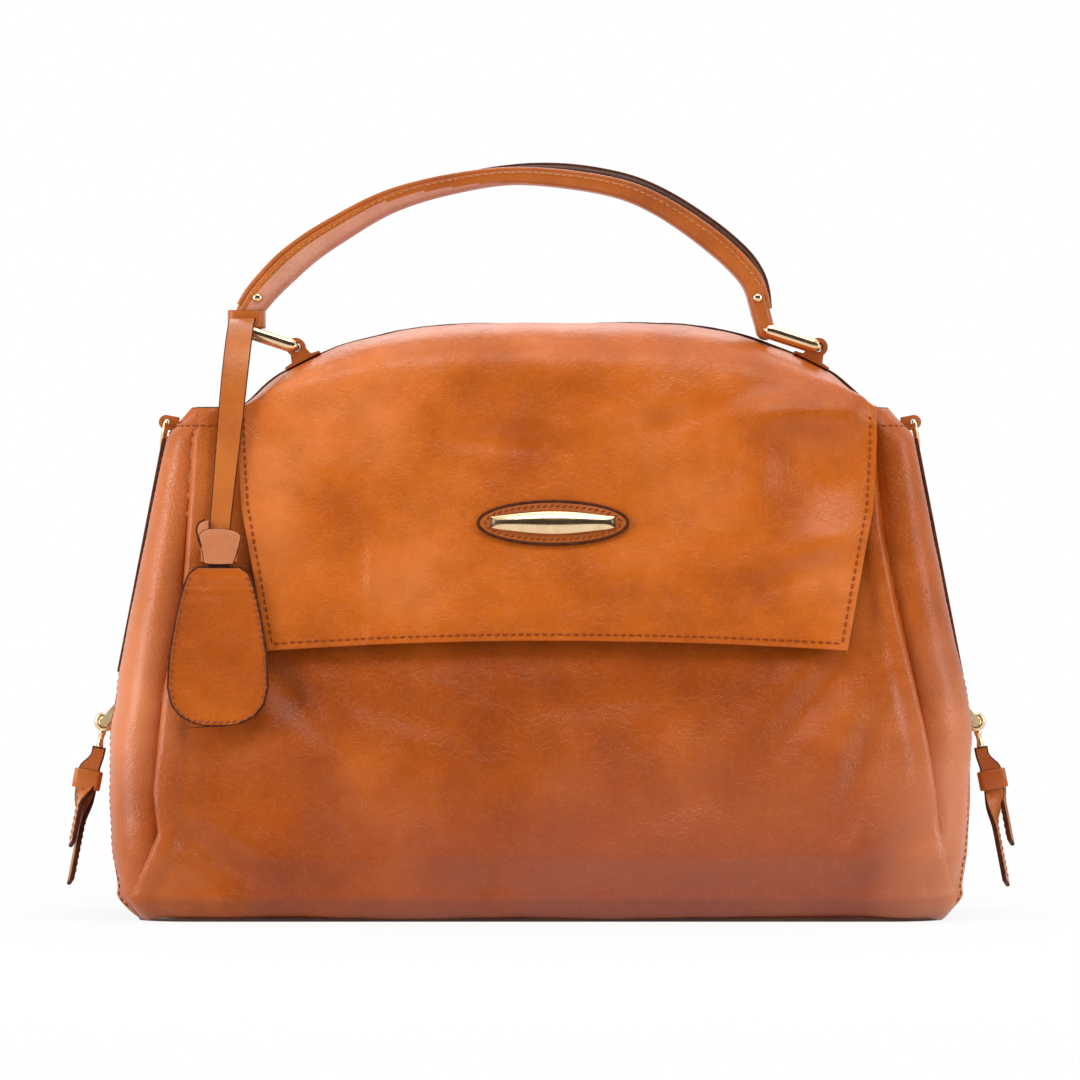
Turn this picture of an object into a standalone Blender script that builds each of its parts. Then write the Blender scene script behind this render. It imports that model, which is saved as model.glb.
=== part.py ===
"""Satchel: a soft leather handbag with a top flap, one arched handle on two rocking links,
side zips with leather pulls, two side D-rings and a hanging key charm.

Metres, +Z up. The front of the bag looks along -Y. The bag stands on z = 0, centred on the origin.
"""
import math

import bmesh
import bpy
import numpy as np
from mathutils import Matrix, Vector

# Shared leather thicknesses and clearances
GAP = 0.0003
RUN_GAP = 0.0005
OVERLAP = 0.0006
WALL = 0.0020
THIN_LEATHER = 0.0014
LINING_THICK = 0.0008

# Points round small circles and corners
SMALL_POINTS = 14
ROUND_POINTS = 16
DISC_POINTS = 28
OVAL_POINTS = 40
CAP_POINTS = 9

# Body
BODY_WIDTH = 0.400
BODY_DEPTH = 0.152
MOUTH_HEIGHT = 0.238
BASE_THICK = 0.0025
BASE_CORNER_POINTS = 7
BOARD_THICK = 0.0020
BOARD_MARGIN = 0.0030
GUSSET_TUCK = 0.0015
GUSSET_RECESS = WALL + 3 * GAP
ZIP_LOW_SHARE = 0.38
ZIP_HIGH_SHARE = 0.945
WIDTH_HEIGHT_SHARES = (0.0, 0.05, 0.126, 0.231, ZIP_LOW_SHARE, ZIP_HIGH_SHARE, 1.0)
WIDTH_SHARES = (0.955, 0.978, 0.992, 1.0, 1.0, 0.87, 0.815)
DEPTH_HEIGHT_SHARES = (0.0, 0.05, 0.125, 1.0)
DEPTH_SHARES = (0.92, 0.975, 1.0, 0.474)
CORNER_SHARE = 0.42
CORNER_COLUMN_SHARE = 0.5
PANEL_COLUMNS = 24
PANEL_ROWS = 14
GUSSET_COLUMNS = 2
LINING_COLUMNS = 40

# Flap: dome over the mouth, then the front flap
FLAP_THICK = 0.0022
FLAP_LINING_THICK = 0.0010
FLAP_STAND = 0.0036
FLAP_X = 0.008
FLAP_LOW_HEIGHT = 0.125
FLAP_ARCH = 0.0045
SHOULDER_HEIGHT = 0.2455
DOME_HEIGHT = 0.278
FLAP_BACK_HALF_WIDTH = 0.154
FLAP_SHOULDER_HALF_WIDTH = 0.150
FLAP_LOW_HALF_WIDTH = 0.134
FLAP_DROP_SHARES = (0.0, 0.45, 0.8, 1.0)
FLAP_TAPER_SHARES = (0.0, 0.22, 0.72, 1.0)
FLAP_TOP_SHARE = 0.5
DOME_POWER_SHARE = 4.0
DOME_TAIL_SHARE = 1.8
ARCH_ROUND_SHARE = 0.8
FLAP_COLUMNS = 20
FLAP_ROWS = 24
LINING_MARGIN = 0.0010
BINDING_DROP = 0.0120
BINDING_MARGIN = 0.0080

# Snap under the flap, patch and plate on it
SNAP_RADIUS = 0.0090
SOCKET_THICK = 0.0014
STUD_THICK = 0.0013
PLATE_HEIGHT = 0.184
PLATE_X = 0.006
PATCH_LENGTH = 0.069
PATCH_WIDTH = 0.0200
PATCH_THICK = 0.0016
PLATE_LENGTH = 0.058
PLATE_WIDTH = 0.0110
PLATE_END_WIDTH = 0.0048
PLATE_THICK = 0.0030
PLATE_EDGE = 0.0008
PLATE_COLUMNS = 12
PLATE_ROWS = 6

# Handle, its links and the anchor tabs
TAB_INSET = 0.033
TAB_LIFT = 0.0076
TAB_RADIUS = 0.0044
TAB_FOOT_LENGTH = 0.0160
TAB_FOOT_THICK = 0.0014
TAB_POINTS = 18
TAB_WIDTH = 0.0190
LINK_LENGTH = 0.026
LINK_ANGLE = math.radians(162)
LINK_WIRE = 0.0034
LINK_SQUARENESS_SHARE = 10.0
LINK_POINTS = 36
HANDLE_RISE = 0.0723
HANDLE_THICK = 0.0088
HANDLE_MID_WIDTH = 0.0150
HANDLE_FOOT_WIDTH = 0.0190
FOOT_RADIUS = 0.0048
HANDLE_X_SHARES = (-1.0, -0.99, -0.92, -0.79, -0.64, -0.43, -0.18, 0.07, 0.38, 0.58, 0.80, 0.94, 0.985, 1.0)
HANDLE_Z_SHARES = (0.0, 0.09, 0.26, 0.475, 0.65, 0.84, 0.955, 1.0, 0.94, 0.82, 0.57, 0.33, 0.1, 0.0)
HANDLE_STEPS = 3
RIVET_RADIUS = 0.0021
RIVET_THICK = 0.0012
RIVET_RISE = 0.0150

# Key charm on the handle's left foot
BAND_HEIGHT = 0.0060
BAND_RISE = 0.0026
BAND_SLACK = 0.0034
BAND_THICK = 0.0014
CHARM_STRAP_WIDTH = 0.0125
CHARM_STRAP_THICK = 0.0018
CHARM_STAND = 0.0020
CHARM_REACH = 0.0100
CHARM_LOW_HEIGHT = 0.1640
CHARM_LEAN = 0.0090
CHARM_COLUMNS = 2
CHARM_ROWS = 26
CHARM_BEND_SHARE = 0.4
CHARM_KEEPER_THICK = 0.0014
CHARM_KEEPER_LENGTH = 0.0110
CHARM_KEEPER_RISE = 0.0020
CLOCHETTE_WIDTH = 0.046
CLOCHETTE_LENGTH = 0.074
CLOCHETTE_THICK = 0.0017
CLOCHETTE_HEIGHT_SHARES = (0.0, 0.04, 0.12, 0.3, 0.55, 0.76, 0.87, 0.94, 0.985, 1.0)
CLOCHETTE_WIDTH_SHARES = (0.42, 0.60, 0.70, 0.84, 0.97, 1.0, 0.92, 0.74, 0.46, 0.14)

# Side zips
TAPE_THICK = 0.0010
TAPE_STAND = 0.0018
TAPE_WIDTH = 0.0095
TAPE_SLIT = 0.0011
TAPE_LOW = 0.004
TAPE_HIGH = 0.127
TOOTH_PITCH = 0.0040
TOOTH_DEPTH = 0.0008
GUARD_LOW = 0.023
GUARD_HIGH = 0.135
GUARD_HALF_SLOT = 0.0056
GUARD_WIDTH = 0.0110
GUARD_THICK = 0.0014
STOP_LENGTH = 0.0016
SLIDER_LENGTH = 0.0100
SLIDER_WIDTH = 0.0080
SLIDER_PLATE = 0.0008
SLIDER_WEB = 0.0006
EAR_THICK = 0.0008
EAR_HALF_HEIGHT = 0.0021
PULL_RING_RADIUS = 0.0046
PULL_RING_HOLE = 0.0015
PULL_PIN_RADIUS = 0.0009
PULL_DROP = 0.0056
PULL_THICK = 0.0018
PULL_SHANK = 0.0150
PULL_SHANK_HALF_WIDTH = 0.0014
PULL_EYE_RADIUS = 0.0030
PULL_NECK_RADIUS = 0.0010
PULL_LEAF_THICK = 0.0012
PULL_TOP_WIDTH = 0.0062
PULL_STRAP_WIDTH = 0.0098
PULL_LEAN = 0.0026
PULL_FRONT_LENGTH = 0.064
PULL_BACK_LENGTH = 0.046
PULL_SLANT = 0.0035
PULL_KEEPER_THICK = 0.0012
PULL_KEEPER_START = 0.0085
PULL_KEEPER_LENGTH = 0.0090
PULL_FLARE = 0.0080

# Side D-rings
D_RING_WIRE = 0.0022
D_RING_HALF_WIDTH = 0.0068
D_RING_DROP = 0.0115
D_RING_BACK = 0.0018
D_RING_SQUARENESS_SHARE = 6.0
D_RING_POINTS = 28
D_TAB_WIDTH = 0.0080
D_TAB_RADIUS = 0.0034
D_BAR_RISE = 0.0055

# Finishes: red, green, blue, roughness, metallic
FINISHES = {
    "cognac_leather": (0.42, 0.14, 0.045, 0.38, 0.0),
    "dark_edge_leather": (0.16, 0.055, 0.03, 0.45, 0.0),
    "champagne_metal": (0.83, 0.69, 0.49, 0.22, 1.0),
    "lining_fabric": (0.55, 0.42, 0.30, 0.85, 0.0),
    "board": (0.45, 0.38, 0.30, 0.9, 0.0),
    "zip_tape": (0.60, 0.33, 0.25, 0.8, 0.0),
}


def clear_scene():
    for item in list(bpy.data.objects):
        bpy.data.objects.remove(item, do_unlink=True)


def new_collection(name):
    group = bpy.data.collections.new(name)
    bpy.context.scene.collection.children.link(group)
    return group


clear_scene()
PARTS = new_collection("satchel")
CUTTERS = new_collection("satchel_cutters")


def finish(piece, look):
    """Give a piece its own material, in one of the named finishes."""
    red, green, blue, roughness, metallic = FINISHES[look]
    material = bpy.data.materials.new(piece.name + "_" + look)
    material.use_nodes = True
    shader = material.node_tree.nodes["Principled BSDF"]
    shader.inputs["Base Color"].default_value = (red, green, blue, 1.0)
    shader.inputs["Roughness"].default_value = roughness
    shader.inputs["Metallic"].default_value = metallic
    piece.data.materials.append(material)
    return piece


def add_mesh(name, mesh_data, look):
    mesh = bpy.data.meshes.new(name)
    mesh_data.normal_update()
    mesh_data.to_mesh(mesh)
    mesh_data.free()
    piece = bpy.data.objects.new(name, mesh)
    PARTS.objects.link(piece)
    return finish(piece, look)


def sheet(name, columns, rows, place, thickness, look):
    """Leather panel: a grid laid out by place(u, v), then thickened behind its outer face."""
    grid = bmesh.new()
    bmesh.ops.create_grid(grid, x_segments=columns, y_segments=rows, size=1.0)
    for vertex in grid.verts:
        vertex.co = place(vertex.co.x, vertex.co.y)
    piece = add_mesh(name, grid, look)
    thicken(piece, thickness)
    return piece


def thicken(piece, thickness):
    solid = piece.modifiers.new("Thickness", "SOLIDIFY")
    solid.thickness = thickness
    solid.offset = -1.0
    solid.use_even_offset = True


def circle_points(radius, count, centre=(0.0, 0.0), start=0.0, turn=math.tau):
    """Points on a circle or an arc; a full circle leaves out its last, doubled point."""
    steps = count if abs(turn) >= math.tau else count - 1
    return [(centre[0] + radius * math.cos(start + turn * i / steps),
             centre[1] + radius * math.sin(start + turn * i / steps)) for i in range(count)]


def wider(loop, margin):
    """Corners of a rectangle, each moved out by the margin."""
    return [(x + math.copysign(margin, x), y + math.copysign(margin, y)) for x, y in loop]


def outline(name, loops, half_thick, look):
    """Flat outline with its holes, extruded to both sides of its own XY plane."""
    curve = bpy.data.curves.new(name, "CURVE")
    curve.dimensions = "2D"
    curve.fill_mode = "BOTH"
    curve.extrude = half_thick
    for loop in loops:
        spline = curve.splines.new("POLY")
        spline.points.add(len(loop) - 1)
        for point, (x, y) in zip(spline.points, loop):
            point.co = (x, y, 0.0, 1.0)
        spline.use_cyclic_u = True
    piece = bpy.data.objects.new(name, curve)
    PARTS.objects.link(piece)
    return finish(piece, look)


def wire(name, points, diameter, look):
    """Closed wire form, bent along a loop of points."""
    curve = bpy.data.curves.new(name, "CURVE")
    curve.dimensions = "3D"
    curve.bevel_depth = diameter / 2
    curve.bevel_resolution = 2
    curve.use_fill_caps = True
    spline = curve.splines.new("POLY")
    spline.points.add(len(points) - 1)
    for point, place in zip(spline.points, points):
        point.co = (*place, 1.0)
    spline.use_cyclic_u = True
    piece = bpy.data.objects.new(name, curve)
    PARTS.objects.link(piece)
    return finish(piece, look)


def as_mesh(piece):
    """The same object as a welded mesh, in place of its curve or modifiers."""
    bpy.context.view_layer.update()
    evaluated = piece.evaluated_get(bpy.context.evaluated_depsgraph_get())
    mesh = bpy.data.meshes.new_from_object(evaluated)
    welded = bmesh.new()
    welded.from_mesh(mesh)
    bmesh.ops.remove_doubles(welded, verts=welded.verts, dist=GAP / 100)
    bmesh.ops.recalc_face_normals(welded, faces=welded.faces)
    welded.to_mesh(mesh)
    welded.free()
    name = piece.name
    solid = bpy.data.objects.new(name + "_solid", mesh)
    solid.matrix_world = piece.matrix_world.copy()
    PARTS.objects.link(solid)
    bpy.data.objects.remove(piece, do_unlink=True)
    solid.name = name
    return solid


def join(piece, *tools):
    """Fuse the tool solids to a mesh piece, and keep the tools as cutters."""
    for tool in tools:
        bond = piece.modifiers.new("Join", "BOOLEAN")
        bond.operation = "UNION"
        bond.object = tool
        for group in list(tool.users_collection):
            group.objects.unlink(tool)
        CUTTERS.objects.link(tool)
        tool.hide_render = True
        tool.display_type = "WIRE"
    return piece


def box(name, low, high, look):
    """Upright box between two corners, as a mesh in its own frame."""
    cube = bmesh.new()
    bmesh.ops.create_cube(cube, size=1.0)
    low_corner, high_corner = Vector(low), Vector(high)
    middle = (low_corner + high_corner) / 2
    span = high_corner - low_corner
    for vertex in cube.verts:
        vertex.co = Vector([middle[i] + vertex.co[i] * span[i] for i in range(3)])
    return add_mesh(name, cube, look)


def pin(name, radius, length, centre, look):
    """Round pin along Y, with its middle at centre."""
    rod = bmesh.new()
    bmesh.ops.create_cone(rod, cap_ends=True, segments=ROUND_POINTS, radius1=radius, radius2=radius,
                          depth=length)
    turn = Matrix.Rotation(math.pi / 2, 4, "X")
    bmesh.ops.transform(rod, matrix=Matrix.Translation(Vector(centre)) @ turn, verts=rod.verts)
    return add_mesh(name, rod, look)


def empty(name, location, rotation=(0.0, 0.0, 0.0), parent=None):
    frame = bpy.data.objects.new(name, None)
    PARTS.objects.link(frame)
    frame.location = location
    frame.rotation_euler = rotation
    frame.parent = parent
    return frame


def under(parent, *pieces):
    """Parent pieces, whose places are given in the parent's own frame."""
    for piece in pieces:
        piece.parent = parent


# Shape of the body
def half_width(height):
    return BODY_WIDTH / 2 * float(np.interp(height / MOUTH_HEIGHT, WIDTH_HEIGHT_SHARES, WIDTH_SHARES))


def half_depth(height):
    shares = DEPTH_HEIGHT_SHARES
    return BODY_DEPTH / 2 * float(np.interp(height / MOUTH_HEIGHT, shares, DEPTH_SHARES))


def corner_radius(height):
    return CORNER_SHARE * half_depth(height)


STRAIGHT_LOW = MOUTH_HEIGHT * DEPTH_HEIGHT_SHARES[2]
FRONT_TILT = math.atan((half_depth(STRAIGHT_LOW) - half_depth(MOUTH_HEIGHT)) / (MOUTH_HEIGHT - STRAIGHT_LOW))


def front_depth(height):
    """Distance from the middle plane to the panel's straight front, also above the mouth."""
    return half_depth(MOUTH_HEIGHT) + (MOUTH_HEIGHT - height) * math.tan(FRONT_TILT)


def panel_point(u, v, side):
    """A point on the front (side -1) or back (side 1) panel, which wraps round both corners."""
    height = MOUTH_HEIGHT * (v + 1) / 2
    radius = corner_radius(height)
    flat = half_width(height) - radius
    if abs(u) <= CORNER_COLUMN_SHARE:
        x, out = flat * u / CORNER_COLUMN_SHARE, radius
    else:
        bend = (abs(u) - CORNER_COLUMN_SHARE) / (1 - CORNER_COLUMN_SHARE) * math.pi / 2
        x = math.copysign(flat + radius * math.sin(bend), u)
        out = radius * math.cos(bend)
    return Vector((-side * x, side * (half_depth(height) - radius + out), height))


def gusset_point(u, v, side):
    """A point on the left (side -1) or right gusset, which is tucked under the panels' edges."""
    height = MOUTH_HEIGHT * (v + 1) / 2
    reach = half_depth(height) - corner_radius(height) + GUSSET_TUCK
    x = half_width(height) - GUSSET_RECESS
    return Vector((side * x, side * u * reach, height))


def lining_point(u, v):
    """A point on the lining bag, round the inside of the walls from the board to the mouth."""
    floor = BASE_THICK + BOARD_THICK + 2 * GAP
    height = floor + (MOUTH_HEIGHT - floor) * (v + 1) / 2
    angle = u * math.pi
    wide = half_width(height) - GUSSET_RECESS - WALL - 2 * GAP
    deep = half_depth(height) - WALL - 2 * GAP
    radius = min(corner_radius(height), deep)
    across = math.copysign(1.0, math.cos(angle)) * (wide - radius) * min(1.0, abs(math.cos(angle)) * 2)
    along = math.copysign(1.0, math.sin(angle)) * (deep - radius) * min(1.0, abs(math.sin(angle)) * 2)
    return Vector((across + radius * math.cos(angle), along + radius * math.sin(angle), height))


def build_body():
    for name, side in (("front_panel", -1), ("back_panel", 1)):
        sheet(name, PANEL_COLUMNS, PANEL_ROWS,
              lambda u, v, s=side: panel_point(u, v, s), WALL, "cognac_leather")
    for name, side in (("left_gusset", -1), ("right_gusset", 1)):
        sheet(name, GUSSET_COLUMNS, PANEL_ROWS,
              lambda u, v, s=side: gusset_point(u, v, s), WALL, "cognac_leather")
    base_outline("base_panel", 0.0, BASE_THICK, 0.0, "dark_edge_leather")
    base_outline("base_board", BASE_THICK + GAP, BOARD_THICK, BOARD_MARGIN, "board")
    build_lining()
    build_binding()


def base_outline(name, low, thickness, margin, look):
    """Flat rounded plate inside the foot of the walls."""
    wide = half_width(0.0) - GUSSET_RECESS - WALL - GAP - margin
    deep = half_depth(0.0) - WALL - GAP - margin
    radius = corner_radius(0.0) - WALL - GAP - margin
    centre_x = half_width(0.0) - corner_radius(0.0)
    loop = []
    for x_side, y_side, start in ((1, 1, 0.0), (-1, 1, 0.5), (-1, -1, 1.0), (1, -1, 1.5)):
        centre = (x_side * centre_x, y_side * (deep - radius))
        arc = circle_points(radius, BASE_CORNER_POINTS, centre, start * math.pi, math.pi / 2)
        loop += [(max(-wide, min(wide, x)), y) for x, y in arc]
    plate = outline(name, [loop], thickness / 2, look)
    plate.location = (0.0, 0.0, low + thickness / 2)
    return plate


def build_lining():
    grid = bmesh.new()
    bmesh.ops.create_grid(grid, x_segments=LINING_COLUMNS, y_segments=PANEL_ROWS, size=1.0)
    for vertex in grid.verts:
        vertex.co = lining_point(vertex.co.x, vertex.co.y)
    bmesh.ops.remove_doubles(grid, verts=grid.verts, dist=GAP / 100)
    floor = min(vertex.co.z for vertex in grid.verts)
    rim = [edge for edge in grid.edges if all(abs(v.co.z - floor) < GAP / 100 for v in edge.verts)]
    bmesh.ops.contextual_create(grid, geom=rim)
    bmesh.ops.recalc_face_normals(grid, faces=grid.faces)
    thicken(add_mesh("lining", grid, "lining_fabric"), LINING_THICK)


def build_binding():
    """Strip sewn over the back seam, just under the flap's hinge line."""
    high = SHOULDER_HEIGHT - FLAP_THICK - RUN_GAP - GAP
    half = FLAP_BACK_HALF_WIDTH - BINDING_MARGIN
    strip = box("back_seam_binding", (-half, 0.0, -BINDING_DROP), (half, THIN_LEATHER, 0.0),
                "dark_edge_leather")
    strip.rotation_euler = (FRONT_TILT, 0.0, 0.0)
    strip.location = (FLAP_X, front_depth(high) + GAP / math.cos(FRONT_TILT), high)


# Shape of the flap
FLAP_INSET = FLAP_THICK + 2 * GAP
FLAP_OUT = FLAP_STAND + FLAP_LINING_THICK + FLAP_INSET
BACK_EDGE = half_depth(MOUTH_HEIGHT) - RUN_GAP
TOP_HALF_WIDTH = (FLAP_BACK_HALF_WIDTH + FLAP_SHOULDER_HALF_WIDTH) / 2
TAB_HALF_SPAN = TOP_HALF_WIDTH - TAB_INSET


def front_y(height, out):
    """Y of a layer that lies the distance out in front of the front panel."""
    return -(front_depth(height) + out / math.cos(FRONT_TILT))


def dome_rise(x_share):
    fall = max(0.0, 1 - abs(x_share) ** DOME_POWER_SHARE)
    return (DOME_HEIGHT - SHOULDER_HEIGHT) * fall ** DOME_TAIL_SHARE


def dome_slope(x_share):
    """Slope of the dome along X, at the middle of its arch."""
    step = TAB_RADIUS / TOP_HALF_WIDTH
    return (dome_rise(x_share + step) - dome_rise(x_share - step)) / (2 * TAB_RADIUS)


def flap_point(u, v, inset, margin):
    """A point on the flap, from the back seam (v -1) over the top to the front's lower edge (v 1)."""
    path = (v + 1) / 2
    if path <= FLAP_TOP_SHARE:
        along = path / FLAP_TOP_SHARE
        across = 1 - 2 * along
        arch = max(0.0, 1 - across * across) ** (ARCH_ROUND_SHARE / 2)
        shoulder = SHOULDER_HEIGHT - inset * math.hypot(1.0, dome_slope(u) * arch)
        front = front_y(SHOULDER_HEIGHT - inset, FLAP_OUT - inset)
        half = FLAP_BACK_HALF_WIDTH + (FLAP_SHOULDER_HALF_WIDTH - FLAP_BACK_HALF_WIDTH) * along
        y = BACK_EDGE - inset + (front - BACK_EDGE + inset) * along
        height = shoulder + dome_rise(u) * arch
    else:
        shoulder = SHOULDER_HEIGHT - inset
        along = (path - FLAP_TOP_SHARE) / (1 - FLAP_TOP_SHARE)
        taper = float(np.interp(along, FLAP_DROP_SHARES, FLAP_TAPER_SHARES))
        half = FLAP_SHOULDER_HALF_WIDTH + (FLAP_LOW_HALF_WIDTH - FLAP_SHOULDER_HALF_WIDTH) * taper
        low = FLAP_LOW_HEIGHT + FLAP_ARCH * (1 - u * u) + margin
        height = shoulder + (low - shoulder) * along
        y = front_y(height, FLAP_OUT - inset)
    return Vector((FLAP_X - u * (half - margin), y, height))


TOP_MIDDLE_Y = (BACK_EDGE + front_y(SHOULDER_HEIGHT, FLAP_OUT)) / 2


def top_height(x):
    return SHOULDER_HEIGHT + dome_rise(x / TOP_HALF_WIDTH)


def top_slope(x):
    """Slope angle of the dome's ridge at x from its middle, positive where it falls towards +X."""
    return math.atan((top_height(x - TAB_RADIUS) - top_height(x + TAB_RADIUS)) / (2 * TAB_RADIUS))


def on_front(piece, x, height, out):
    """Lay a flat piece against the front, its own Z outwards and its own Y up the front."""
    piece.location = (x, front_y(height, out), height)
    piece.rotation_euler = (math.pi / 2 - FRONT_TILT, 0.0, 0.0)
    return piece


def build_flap():
    sheet("flap_outer", FLAP_COLUMNS, FLAP_ROWS,
          lambda u, v: flap_point(u, v, 0.0, 0.0), FLAP_THICK, "cognac_leather")
    sheet("flap_lining", FLAP_COLUMNS, FLAP_ROWS,
          lambda u, v: flap_point(u, v, FLAP_INSET, LINING_MARGIN), FLAP_LINING_THICK, "lining_fabric")
    build_snap()
    build_patch()


def disc(name, radius, thickness, look):
    return outline(name, [circle_points(radius, DISC_POINTS)], thickness / 2, look)


def build_snap():
    socket = disc("snap_socket", SNAP_RADIUS, SOCKET_THICK, "champagne_metal")
    on_front(socket, PLATE_X, PLATE_HEIGHT, GAP + SOCKET_THICK / 2)
    stud = disc("snap_stud", SNAP_RADIUS, STUD_THICK, "champagne_metal")
    on_front(stud, PLATE_X, PLATE_HEIGHT, FLAP_STAND - GAP - STUD_THICK / 2)


def build_patch():
    """Oval leather patch on the flap, with the blank metal plate on it."""
    oval = [(PATCH_LENGTH / 2 * x, PATCH_WIDTH / 2 * y) for x, y in circle_points(1.0, OVAL_POINTS)]
    patch = outline("plate_patch", [oval], PATCH_THICK / 2, "cognac_leather")
    on_front(patch, PLATE_X, PLATE_HEIGHT, FLAP_OUT + GAP + PATCH_THICK / 2)
    base = FLAP_OUT + PATCH_THICK + 2 * GAP
    plate = sheet("plate", PLATE_COLUMNS, PLATE_ROWS, plate_point, PLATE_EDGE, "champagne_metal")
    on_front(plate, PLATE_X, PLATE_HEIGHT, base)


def plate_point(u, v):
    """A point on the barrel-shaped plate, which is domed across and blunt at its ends."""
    half = (PLATE_END_WIDTH + (PLATE_WIDTH - PLATE_END_WIDTH) * (1 - u * u)) / 2
    dome = (PLATE_THICK - PLATE_EDGE) * (1 - u ** 4) * (1 - v * v)
    return Vector((u * PLATE_LENGTH / 2, v * half, PLATE_EDGE + dome))


# Anchor tabs, links and handle
def tab_bar(side):
    """Middle of the link bar inside the anchor tab on one side."""
    slope = top_slope(side * TAB_HALF_SPAN)
    x = FLAP_X + side * TAB_HALF_SPAN + (TAB_LIFT + GAP) * math.sin(slope)
    height = top_height(TAB_HALF_SPAN) + (TAB_LIFT + GAP) * math.cos(slope)
    return Vector((x, TOP_MIDDLE_Y, height))


def foot_bar(side):
    """Middle of the link bar inside the handle's foot on one side."""
    reach = Vector((math.cos(LINK_ANGLE), 0.0, math.sin(LINK_ANGLE)))
    return tab_bar(side) + reach * LINK_LENGTH


def build_anchor_tab(name, side):
    """Leather loop sewn to the top, which holds one bar of the link."""
    half = TAB_FOOT_LENGTH / 2
    loop = [(-half, 0.0), (half, 0.0), (half, TAB_FOOT_THICK)]
    start = -math.pi / 6
    loop += circle_points(TAB_RADIUS, TAB_POINTS, (0.0, TAB_LIFT), start, math.pi - 2 * start)
    loop += [(-half, TAB_FOOT_THICK)]
    hole = circle_points(LINK_WIRE / 2 + RUN_GAP, ROUND_POINTS, (0.0, TAB_LIFT))
    tab = outline(name, [loop, hole], TAB_WIDTH / 2, "cognac_leather")
    slope = top_slope(side * TAB_HALF_SPAN)
    lift = Vector((math.sin(slope), 0.0, math.cos(slope))) * GAP
    x = FLAP_X + side * TAB_HALF_SPAN
    tab.location = Vector((x, TOP_MIDDLE_Y, top_height(TAB_HALF_SPAN))) + lift
    tab.rotation_euler = (math.pi / 2, slope, 0.0)


def square_loop(half_length, half_width_, squareness, count):
    """Rounded rectangle as a superellipse."""
    power = 2 / squareness
    points = []
    for x, y in circle_points(1.0, count):
        points.append((math.copysign(abs(x) ** power, x) * half_length,
                       math.copysign(abs(y) ** power, y) * half_width_))
    return points


def build_link(name, side):
    """Rectangular wire link; its origin is the bar in the anchor tab."""
    half = HANDLE_FOOT_WIDTH / 2 + LINK_WIRE / 2 + 3 * RUN_GAP
    flat = square_loop(LINK_LENGTH / 2, half, LINK_SQUARENESS_SHARE, LINK_POINTS)
    link = wire(name, [(x + LINK_LENGTH / 2, y, 0.0) for x, y in flat], LINK_WIRE, "champagne_metal")
    link.location = tab_bar(side)
    link.rotation_euler = (0.0, -LINK_ANGLE, 0.0)


def smooth(points, steps):
    """Catmull-Rom curve through the points."""
    ends = [points[0], *points, points[-1]]
    curve = []
    for a, b, c, d in zip(ends, ends[1:], ends[2:], ends[3:]):
        for i in range(steps):
            t = i / steps
            curve.append(tuple(0.5 * (2 * q + (r - p) * t + (2 * p - 5 * q + 4 * r - s) * t * t
                                      + (3 * q - p - 3 * r + s) * t ** 3)
                               for p, q, r, s in zip(a, b, c, d)))
    curve.append(tuple(points[-1]))
    return curve


def handle_line():
    """Centre line of the handle from the left foot bar to the right one, from their middle."""
    half = (foot_bar(1).x - foot_bar(-1).x) / 2
    points = [(half * x, HANDLE_RISE * z) for x, z in zip(HANDLE_X_SHARES, HANDLE_Z_SHARES)]
    return smooth(points, HANDLE_STEPS)


def ribbon(line, widths):
    """Outline of a strip of changing width along a line, with a round cap at each end."""
    upper, lower = [], []
    for i, (x, z) in enumerate(line):
        before, after = line[max(i - 1, 0)], line[min(i + 1, len(line) - 1)]
        along = Vector((after[0] - before[0], after[1] - before[1])).normalized()
        upper.append((x - along.y * widths[i], z + along.x * widths[i]))
        lower.append((x + along.y * widths[i], z - along.x * widths[i]))
    right = circle_points(widths[-1], CAP_POINTS, line[-1], 0.0, -math.pi)
    left = circle_points(widths[0], CAP_POINTS, line[0], 0.0, -math.pi)
    return upper[1:-1] + right + lower[-2:0:-1] + left


def build_handle():
    """Arched strap, a little narrower in its middle, with an eye at each foot."""
    line = handle_line()
    half_span = line[-1][0]
    widths = []
    for x, z in line:
        foot = max(0.0, 1 - z / (3 * FOOT_RADIUS))
        widths.append(HANDLE_THICK / 2 + (FOOT_RADIUS - HANDLE_THICK / 2) * foot)
    hole = LINK_WIRE / 2 + RUN_GAP
    holes = [circle_points(hole, ROUND_POINTS, (side * half_span, 0.0)) for side in (-1, 1)]
    strap = outline("handle", [ribbon(line, widths), *holes], HANDLE_FOOT_WIDTH / 2, "cognac_leather")
    strap.rotation_euler = (math.pi / 2, 0.0, 0.0)
    strap.location = (foot_bar(-1) + foot_bar(1)) / 2
    strap = as_mesh(strap)
    narrow_middle(strap)
    for name, side in (("left_handle_rivet", -1), ("right_handle_rivet", 1)):
        build_rivet(name, side, line)


def narrow_middle(strap):
    """Draw the strap's edges in towards the top of its arch."""
    for vertex in strap.data.vertices:
        rise = min(1.0, max(0.0, (vertex.co.y - RIVET_RISE - RIVET_RADIUS) / HANDLE_RISE * 2))
        width = HANDLE_FOOT_WIDTH + (HANDLE_MID_WIDTH - HANDLE_FOOT_WIDTH) * rise
        vertex.co.z *= width / HANDLE_FOOT_WIDTH


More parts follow.
